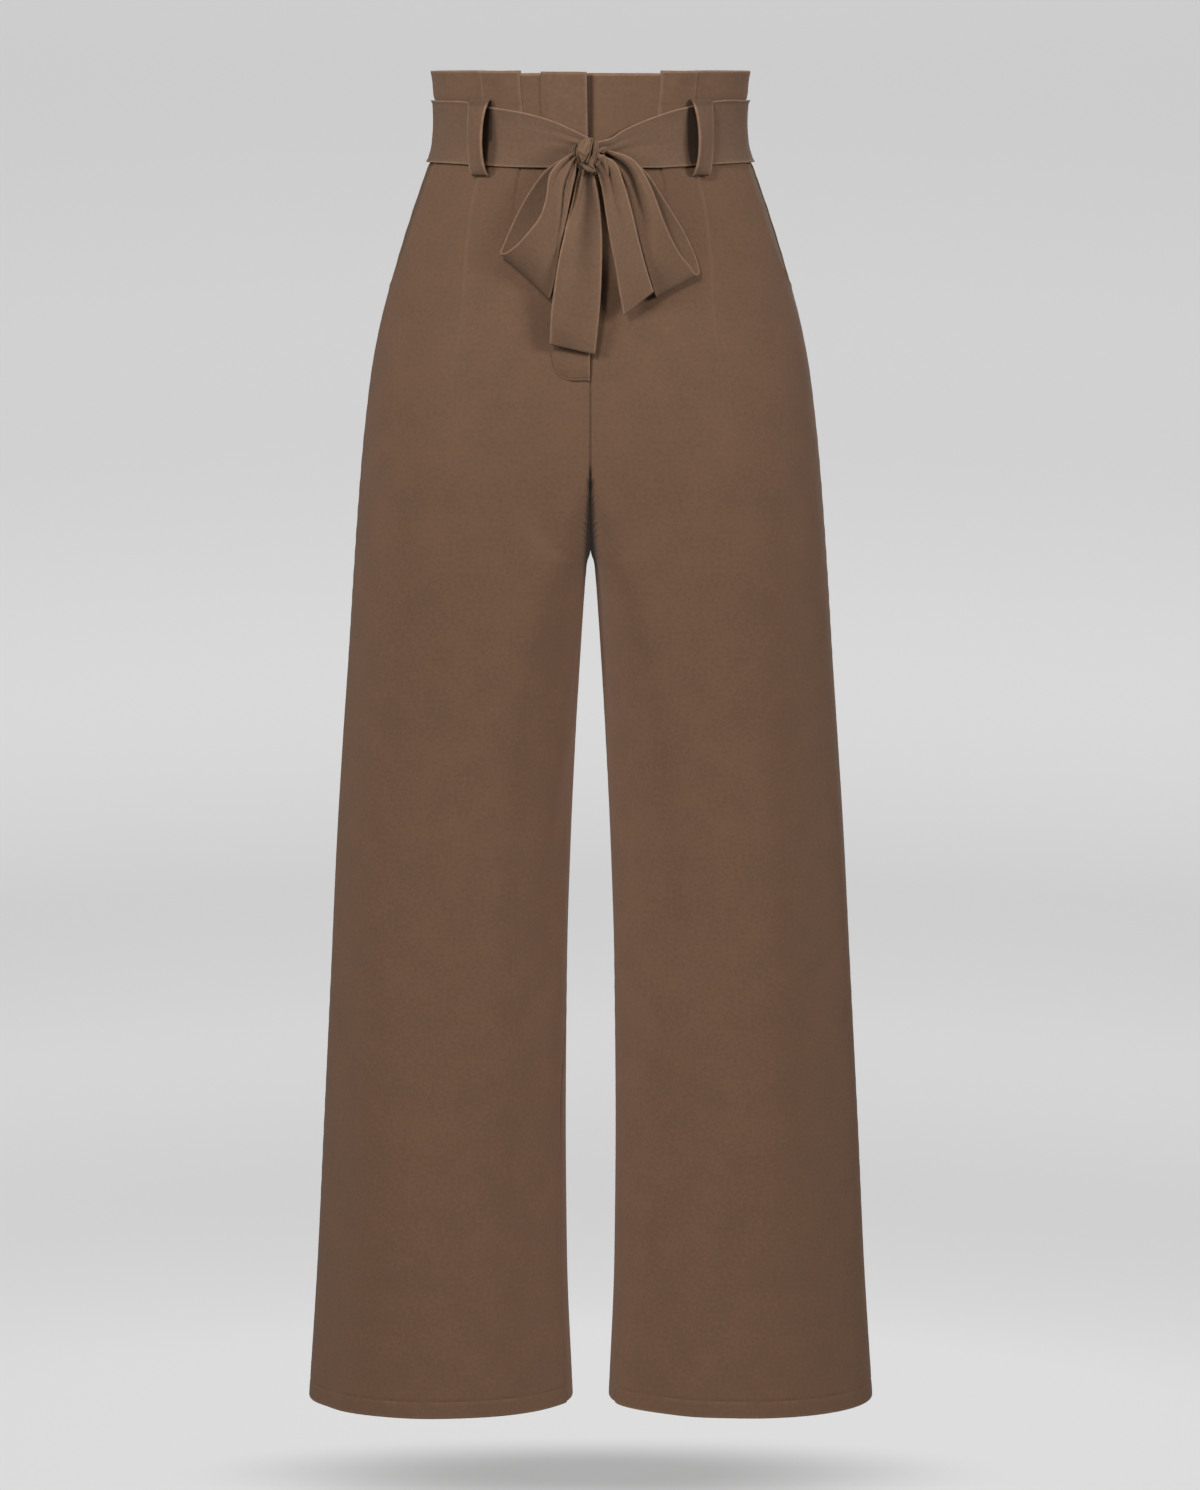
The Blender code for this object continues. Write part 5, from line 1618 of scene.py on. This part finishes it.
# The knot: the belt's middle wrap, drawn tight over the crossing, with the crumples beside it. Its folds are
# swept one by one and grown into one skin. Points are x, y, z, half width and half depth.
KNOT_CORE = ((-2.6, -95.4, -17.4), (7.0, 6.6, 12.4))
KNOT_FOLDS = {
    "front wrap": (
        (0.6, -90, -4.2, 2.6, 1.5), (-0.6, -99, -4.4, 3.6, 1.9), (-3.6, -103.8, -8.6, 5.2, 2.3),
        (-5.4, -106.0, -13.7, 5.9, 2.6), (-5.6, -105.6, -19.0, 4.8, 2.4), (-5.2, -103.0, -24.0, 2.9, 1.9),
        (-4.2, -98.0, -26.6, 1.7, 1.4),
    ),
    "second wrap": (
        (3.4, -90, -5.6, 1.6, 1.4), (3.6, -98, -6.0, 2.0, 1.7), (4.3, -102.0, -10.6, 2.4, 1.9),
        (3.3, -103.4, -16.0, 2.7, 2.0), (0.9, -103.6, -21.6, 3.1, 2.1), (-1.6, -101.6, -26.2, 3.0, 1.8),
        (-2.6, -97.0, -28.6, 2.2, 1.4),
    ),
    "lower lobe": (
        (-6.2, -98.0, -22.6, 1.8, 1.4), (-3.6, -103.6, -24.2, 2.9, 1.8), (-0.2, -105.2, -26.6, 3.5, 2.1),
        (2.2, -103.4, -29.6, 3.0, 2.0), (3.2, -98.6, -31.6, 2.0, 1.6),
    ),
    "right strand": (
        (6.4, -91, -11.6, 1.1, 1.1), (7.2, -97.4, -13.2, 1.3, 1.4), (7.7, -101.4, -18.0, 1.4, 1.7),
        (6.9, -102.6, -23.6, 1.6, 1.8), (5.3, -101.2, -29.0, 1.5, 1.6), (4.2, -96.6, -32.2, 1.2, 1.3),
    ),
    "left under wrap": (
        (-9.2, -90, -9.0, 1.5, 1.3), (-10.6, -96.6, -12.6, 1.7, 1.6), (-11.0, -99.2, -18.0, 1.8, 1.8),
        (-9.0, -99.8, -23.6, 2.0, 1.8), (-5.6, -99.0, -28.0, 2.0, 1.6), (-2.0, -95.8, -31.2, 1.7, 1.3),
    ),
    "left crumple": (
        (-10.8, -92, -8.6, 1.1, 1.2), (-12.2, -98.0, -10.6, 1.6, 1.6), (-13.0, -100.4, -14.8, 1.7, 1.8),
        (-12.6, -99.4, -19.4, 1.4, 1.6), (-11.6, -95, -23.0, 1.0, 1.2),
    ),
    "outer left crumple": (
        (-14.0, -92, -11.2, 0.9, 1.0), (-15.3, -97.6, -13.6, 1.2, 1.4), (-15.6, -98.8, -17.8, 1.2, 1.4),
        (-14.6, -95.4, -22.2, 0.9, 1.1),
    ),
    "right crumple": (
        (6.0, -97.4, -14.6, 1.6, 1.4), (8.2, -102.2, -13.4, 2.5, 1.9), (10.4, -103.0, -12.0, 2.6, 1.7),
        (12.0, -101.4, -11.2, 2.0, 1.3), (12.9, -98.4, -10.6, 1.3, 1.0),
    ),
    "right tuck": (
        (8.2, -99.8, -15.6, 1.2, 1.2), (10.4, -104.6, -17.8, 1.7, 1.6), (12.2, -106.2, -22.8, 1.7, 1.5),
        (13.3, -106.6, -29.0, 1.2, 1.1), (14.0, -105.8, -35.0, 0.6, 0.7),
    ),
}
# Creases pressed into its front: x and z of both ends, half width and depth.
KNOT_CREASES = (
    (1.6, -4.5, 1.2, -7.5, 0.99, 1.59),
    (1.2, -7.5, 0.6, -14.5, 0.99, 1.89),
    (0.6, -14.5, -2.4, -18.6, 0.9, 1.74),
    (-2.4, -18.6, -4.7, -22.6, 0.81, 1.45),
    (-9.8, -9.5, -11.1, -13.4, 0.81, 0.87),
    (-11.1, -13.4, -7.6, -22.4, 0.9, 1.16),
    (-4.4, -5.6, -6.6, -10.8, 0.72, 0.65),
    (-0.6, -8, -3.6, -14.2, 0.81, 0.65),
    (-9, -14.4, -4.4, -17.8, 0.72, 0.72),
    (-6.2, -20, -2.6, -16, 0.63, 0.58),
    (-5.4, -22.8, -1.4, -23.6, 0.81, 1.45),
    (-1.4, -23.6, 2.4, -27, 0.81, 1.3),
    (-10, -23.9, -4.7, -28.6, 0.9, 1.3),
    (-4.7, -28.6, 1.2, -32.1, 0.9, 1.45),
    (1.2, -32.1, 3.9, -30.4, 0.81, 1.16),
    (5.3, -6.5, 5.6, -12, 0.81, 1.01),
    (5.6, -12, 3.4, -24, 0.81, 1.16),
    (2.8, -8.5, 3.5, -13.6, 0.63, 0.58),
    (1.2, -19.2, 3.2, -15.4, 0.63, 0.51),
    (6.7, -17, 4.8, -29, 0.63, 0.65),
    (8.2, -15.7, 11.1, -16.3, 0.9, 1.16),
    (11.1, -16.3, 14.6, -11.6, 0.9, 1.3),
    (9.6, -13.4, 13, -10.2, 0.63, 0.58),
    (-12.6, -11, -13.6, -15.4, 0.72, 0.72),
    (-13.6, -15.4, -12.4, -20.6, 0.72, 0.72),
    (-15.2, -12.6, -15.2, -19.6, 0.63, 0.58),
)
KNOT_CREASE_SHADE = 0.25
KNOT_FRONT = (0.05, 0.45)
# Soft shades over its front: x, z, reaches in x and z, and how light.
KNOT_SHADES = (
    (-5.2, -12.6, 4.0, 5.6, 0.30),
    (-1.6, -6.4, 2.6, 2.2, 0.25),
    (-9.6, -20.5, 2.3, 4.8, -0.45),
    (-2.0, -30.4, 4.0, 1.6, -0.35),
    (8.8, -19.6, 1.6, 2.8, -0.45),
    (-1.6, -24.8, 1.6, 1.0, -0.20),
)
KNOT_STATIONS = 46
KNOT_SEGMENTS = 32
KNOT_SQUARENESS = 3.0
KNOT_END_TURN = 0.12
KNOT_END_ROUNDNESS = 0.3
KNOT_CORE_SEGMENTS = 32
KNOT_CORE_RINGS = 20
KNOT_VOXEL = 0.3 * MM
KNOT_SMOOTHING = 2
# Ridges of the knot painted lighter and creases darker, by how far each point stands out: a painted highlight
# and painted shade.
KNOT_BEND_LIGHT_AND_SHADE = 0.40
KNOT_LIGHT_AND_SHADE_BEND = 0.09 * MM
KNOT_LIGHT_AND_SHADE_SMOOTHING = 3
KNOT_TINT = (1.06, 1.13, 1.10)


def add_fold(shape, rows):
    """One swept fold of the knot, closed at both ends."""
    path = smooth_path(rows, KNOT_STATIONS)
    centres, half_widths, half_depths = path[:, :3] * MM, path[:, 3] * MM, path[:, 4] * MM
    tangents = unit(np.gradient(centres, axis=0))
    sideways = unit(np.array((1.0, 0, 0)) - tangents * tangents[:, :1])
    out = np.cross(tangents, sideways)
    turns = np.linspace(0, 2 * math.pi, KNOT_SEGMENTS, endpoint=False)
    across, through = (
        np.sign(value) * np.abs(value) ** (2 / KNOT_SQUARENESS) for value in (np.cos(turns), np.sin(turns))
    )
    size = np.sin(np.linspace(KNOT_END_TURN, math.pi - KNOT_END_TURN, KNOT_STATIONS)) ** KNOT_END_ROUNDNESS
    wide = across[:, None] * sideways[:, None] * half_widths[:, None, None]
    deep = through[:, None] * out[:, None] * half_depths[:, None, None]
    points = centres[:, None] + size[:, None, None] * (wide + deep)
    rings = [[shape.verts.new(point) for point in ring] for ring in points]
    join_rings(shape, rings)
    shape.faces.new(rings[0][::-1])
    shape.faces.new(rings[-1])


def point_values(mesh, name):
    """Each point's place or normal."""
    values = np.empty(len(mesh.vertices) * 3)
    mesh.vertices.foreach_get(name, values)
    return values.reshape(-1, 3)


def bend_of(mesh):
    """How far each point stands out from the mean of its neighbours. It is below 0 in a crease."""
    points, normals = point_values(mesh, "co"), point_values(mesh, "normal")
    ends = np.empty(len(mesh.edges) * 2, np.int32)
    mesh.edges.foreach_get("vertices", ends)
    ends = ends.reshape(-1, 2)
    here, there = np.concatenate([ends, ends[:, ::-1]]).T
    counts = np.maximum(np.bincount(here, minlength=len(points)), 1)

    def mean(values):
        sums = [np.bincount(here, column[there], len(points)) for column in values.T]
        return np.stack(sums, axis=-1) / counts[:, None]

    bend = np.sum((points - mean(points)) * normals, axis=1)[:, None]
    for _ in range(KNOT_LIGHT_AND_SHADE_SMOOTHING):
        bend = mean(bend)
    return bend[:, 0]


def press_creases(places, normals):
    """Moves the knot's front into its creases and returns how each point is shaded."""
    x, z = places[:, 0] / MM, places[:, 2] / MM
    front = ease(-normals[:, 1], *KNOT_FRONT)
    depth, shaded = np.zeros(len(x)), np.zeros(len(x))
    for from_x, from_z, to_x, to_z, width, deep in KNOT_CREASES:
        run_x, run_z = to_x - from_x, to_z - from_z
        share = np.clip(((x - from_x) * run_x + (z - from_z) * run_z) / (run_x**2 + run_z**2), 0, 1)
        away = np.hypot(x - from_x - share * run_x, z - from_z - share * run_z)
        depth = np.maximum(depth, deep * swell(away, width))
    for at_x, at_z, reach_x, reach_z, shade in KNOT_SHADES:
        shaded += shade * swell(x - at_x, reach_x) * swell(z - at_z, reach_z)
    return places - normals * (depth * front * MM)[:, None], (shaded - KNOT_CREASE_SHADE * depth) * front


def finished_mesh(name, holder):
    """The plain mesh that an object's modifiers make. The object and its own mesh are then gone."""
    graph = bpy.context.evaluated_depsgraph_get()
    made = bpy.data.meshes.new_from_object(holder.evaluated_get(graph))
    own = holder.data
    bpy.data.objects.remove(holder, do_unlink=True)
    bpy.data.meshes.remove(own)
    made.name = name
    return made


def knot_mesh():
    """The knot's folds and core grown into one skin, with its creases pressed in."""
    shape = bmesh.new()
    for rows in KNOT_FOLDS.values():
        add_fold(shape, rows)
    centre, half_size = KNOT_CORE
    sizes = {"u_segments": KNOT_CORE_SEGMENTS, "v_segments": KNOT_CORE_RINGS, "radius": 1}
    for vertex in bmesh.ops.create_uvsphere(shape, **sizes)["verts"]:
        vertex.co = [(at * half + middle) * MM for at, half, middle in zip(vertex.co, half_size, centre)]
    bmesh.ops.recalc_face_normals(shape, faces=shape.faces)
    folds = bpy.data.meshes.new("knot_folds")
    shape.to_mesh(folds)
    shape.free()
    holder = add_object("knot_folds", folds)
    remesh = holder.modifiers.new("grow_together", "REMESH")
    remesh.mode = "VOXEL"
    remesh.voxel_size = KNOT_VOXEL
    smooth = holder.modifiers.new("soften", "SMOOTH")
    smooth.iterations = KNOT_SMOOTHING
    grown = finished_mesh("bow_knot", holder)

    places, shaded = press_creases(point_values(grown, "co"), point_values(grown, "normal"))
    grown.vertices.foreach_set("co", places.ravel())
    grown.update()
    turn = np.arctan2(places[:, 1] - centre[1] * MM, places[:, 0] - centre[0] * MM)
    cloth = np.stack([turn * half_size[0] * MM, places[:, 2]], axis=-1)
    # Ridges painted lighter and creases darker: painted highlight and painted shade.
    rubbing_and_painted_light = np.clip(bend_of(grown) / KNOT_LIGHT_AND_SHADE_BEND, -1, 1) * KNOT_BEND_LIGHT_AND_SHADE
    mark_cloth(grown, cloth, rubbing_and_painted_light + shaded)
    return grown


knot_crepe = crepe_material("knot_crepe", KNOT_TINT)
piece_from_mesh("bow_knot", knot_mesh(), "knot", knot_crepe)

# The stitches: matching thread, in runs of short stitches laid along a seam. One curved run holds the fly's
# lap down at its foot.
STITCH_LENGTH = 2.2 * MM
STITCH_GAP = 0.5 * MM
STITCH_LIFT = 0.12 * MM
STITCH_SEGMENTS = 6
STITCH_RINGS = 5
THREAD_RADIUS = 0.16 * MM
THREAD_COLOUR = (0.118, 0.066, 0.042)
THREAD_SHADES = (0.8, 1.2)
THREAD_TWIST_SCALE = 2400
THREAD_ROUGHNESS = 0.6
THREAD_SHEEN = 0.1
FLY_STITCH_TOP = -160
FLY_STITCH_INSET = 3.2
FLY_STITCH_POINTS = 40
FLY_STITCH_END = (0.4, 1.0)
FLY_STITCH_NEAREST = 1.2
FLY_STITCH_DROP = 1
# How far apart, in height and in share, the points lie that tell which way the cloth faces.
PROBE = (1, 0.004)


def thread_material():
    """Matching thread, a little lighter and darker along its twist."""
    material, tree = new_material("sewing_thread")
    place = add_node(tree, "ShaderNodeTexCoord").outputs["Object"]
    twist = add_node(tree, "ShaderNodeTexNoise", {"Vector": place, "Scale": THREAD_TWIST_SCALE})
    dark, light = ((*np.multiply(THREAD_COLOUR, shade), 1) for shade in THREAD_SHADES)
    looks = {
        "Base Color": mix_colours(tree, twist.outputs["Fac"], dark, light),
        "Roughness": THREAD_ROUGHNESS,
        "Sheen Weight": THREAD_SHEEN,
    }
    set_inputs(tree, tree.nodes["Principled BSDF"], looks)
    return material


def stitch_tree():
    """Lays one small capsule of thread for each stitch along a curve."""
    tree = bpy.data.node_groups.new("stitches_on_seam", "GeometryNodeTree")
    for name, kind in (
        ("Seams", "NodeSocketGeometry"),
        ("Stitch Length", "NodeSocketFloat"),
        ("Gap", "NodeSocketFloat"),
        ("Thread Radius", "NodeSocketFloat"),
        ("Thread", "NodeSocketMaterial"),
    ):
        tree.interface.new_socket(name, in_out="INPUT", socket_type=kind)
    tree.interface.new_socket("Stitches", in_out="OUTPUT", socket_type="NodeSocketGeometry")
    given = add_node(tree, "NodeGroupInput").outputs
    step = add_node(tree, "ShaderNodeMath", {0: given["Stitch Length"], 1: given["Gap"]}, operation="ADD")
    half = add_node(tree, "ShaderNodeMath", {0: given["Stitch Length"], 1: 0.5}, operation="MULTIPLY")
    curve = add_node(tree, "GeometryNodeMeshToCurve", {"Mesh": given["Seams"]}).outputs["Curve"]
    steps = {"Curve": curve, "Length": step.outputs[0]}
    points = add_node(tree, "GeometryNodeCurveToPoints", steps, mode="LENGTH").outputs
    ball = {"Segments": STITCH_SEGMENTS, "Rings": STITCH_RINGS, "Radius": 1}
    stitch = add_node(tree, "GeometryNodeMeshUVSphere", ball).outputs["Mesh"]
    radius = given["Thread Radius"]
    size = add_node(tree, "ShaderNodeCombineXYZ", {"X": radius, "Y": radius, "Z": half.outputs[0]}).outputs[0]
    laid = {"Points": points["Points"], "Rotation": points["Rotation"], "Instance": stitch, "Scale": size}
    laid = add_node(tree, "GeometryNodeInstanceOnPoints", laid).outputs["Instances"]
    real = add_node(tree, "GeometryNodeRealizeInstances", {"Geometry": laid}).outputs["Geometry"]
    dyed = add_node(tree, "GeometryNodeSetMaterial", {"Geometry": real, "Material": given["Thread"]})
    add_node(tree, "NodeGroupOutput", {"Stitches": dyed.outputs["Geometry"]})
    return tree


thread = thread_material()
seam_stitches = stitch_tree()


def sew(name, run, stitch_length):
    """Stitches along a run of points, as one plain mesh."""
    line = bpy.data.meshes.new(name + "_line")
    line.from_pydata(run, [(place, place + 1) for place in range(len(run) - 1)], [])
    holder = add_object(line.name, line)
    layer = holder.modifiers.new("stitches", "NODES")
    layer.node_group = seam_stitches
    sockets = {item.name: item.identifier for item in seam_stitches.interface.items_tree}
    sizes = {"Stitch Length": stitch_length, "Gap": STITCH_GAP, "Thread Radius": THREAD_RADIUS}
    for socket, value in {**sizes, "Thread": thread}.items():
        layer[sockets[socket]] = value
    sewn = finished_mesh(name, holder)
    sewn.shade_smooth()
    piece = add_object(name, sewn)
    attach(piece, "root")


def run_on_body(places, facing, side, out):
    """A run of points at (height, x) places, held out from the body."""
    up, step = PROBE
    points = []
    for height, x in places:
        share = share_at(height, x, facing)
        heights = [[height + lift] * 3 for lift in (up, 0, -up)]
        around = skin_grid(heights, [[share - step, share, share + step]] * 3, facing, side)
        normal = outward_normals(around, facing, side)[1, 1]
        points.append(tuple(around[1, 1] + normal * out))
    return points


fly_run = []
for height in np.linspace(FLY_STITCH_TOP, FLY[-1][0] + FLY_STITCH_INSET, FLY_STITCH_POINTS):
    edge = read_table(FLY, FLY_COLUMNS, "edge", height - FLY_STITCH_DROP)
    fly_run.append((height, max(edge - FLY_STITCH_INSET, FLY_STITCH_NEAREST)))
fly_run.append((fly_run[-1][0] + FLY_STITCH_END[0], FLY_STITCH_END[1]))
fly_out = (FLY_FOOT_LIFT + FLY_FOLD_THICK / 2) * MM + STITCH_LIFT
sew("fly_stitches", run_on_body(fly_run, "front", "right", fly_out), STITCH_LENGTH)

# What each lamp lights: those in front light the trousers alone, and the one above the paper alone, which
# keeps an even grey. One leg doesn't keep the side lamps off the other, and the inner side of each leg gets
# a soft light of its own, which the other leg doesn't block.
INNER_FILL_PLACE = (3.0, -0.35, -0.42)
INNER_FILL_SIZE = 1.0
INNER_FILL_POWER = 13


def collect(name, things):
    """A collection of some of the scene's objects."""
    collection = bpy.data.collections.new(name)
    for thing in things:
        collection.objects.link(thing)
    return collection


def link_lamp(name, lit, blocking=None):
    """Lets a lamp light one collection alone, and one collection alone throw its shadows."""
    linking = bpy.data.objects[name].light_linking
    linking.receiver_collection = lit
    linking.blocker_collection = blocking


meshes = [thing for thing in scene.collection.objects if thing.type == "MESH"]
garment = [piece for piece in meshes if not piece.name.startswith("studio")]
dressed = collect("dressed", garment)
trimmings = collect("trimmings", [piece for piece in garment if not piece.name.endswith("_leg")])
paper = collect("paper", [bpy.data.objects["studio_stage"]])
link_lamp("key", dressed)
link_lamp("right_fill", dressed, trimmings)
link_lamp("left_fill", dressed, trimmings)
link_lamp("overhead", paper, paper)
for side, way in SIDES.items():
    leg = collect(f"leg_{side}", [bpy.data.objects[f"{facing}_{side}_leg"] for facing in FACINGS])
    across, forward, height = INNER_FILL_PLACE
    place, aim = (-way * across, forward, height), (0, 0, height)
    fill = make_lamp(f"inner_fill_{side}", place, aim, INNER_FILL_SIZE, INNER_FILL_POWER)
    link_lamp(fill.name, leg, leg)
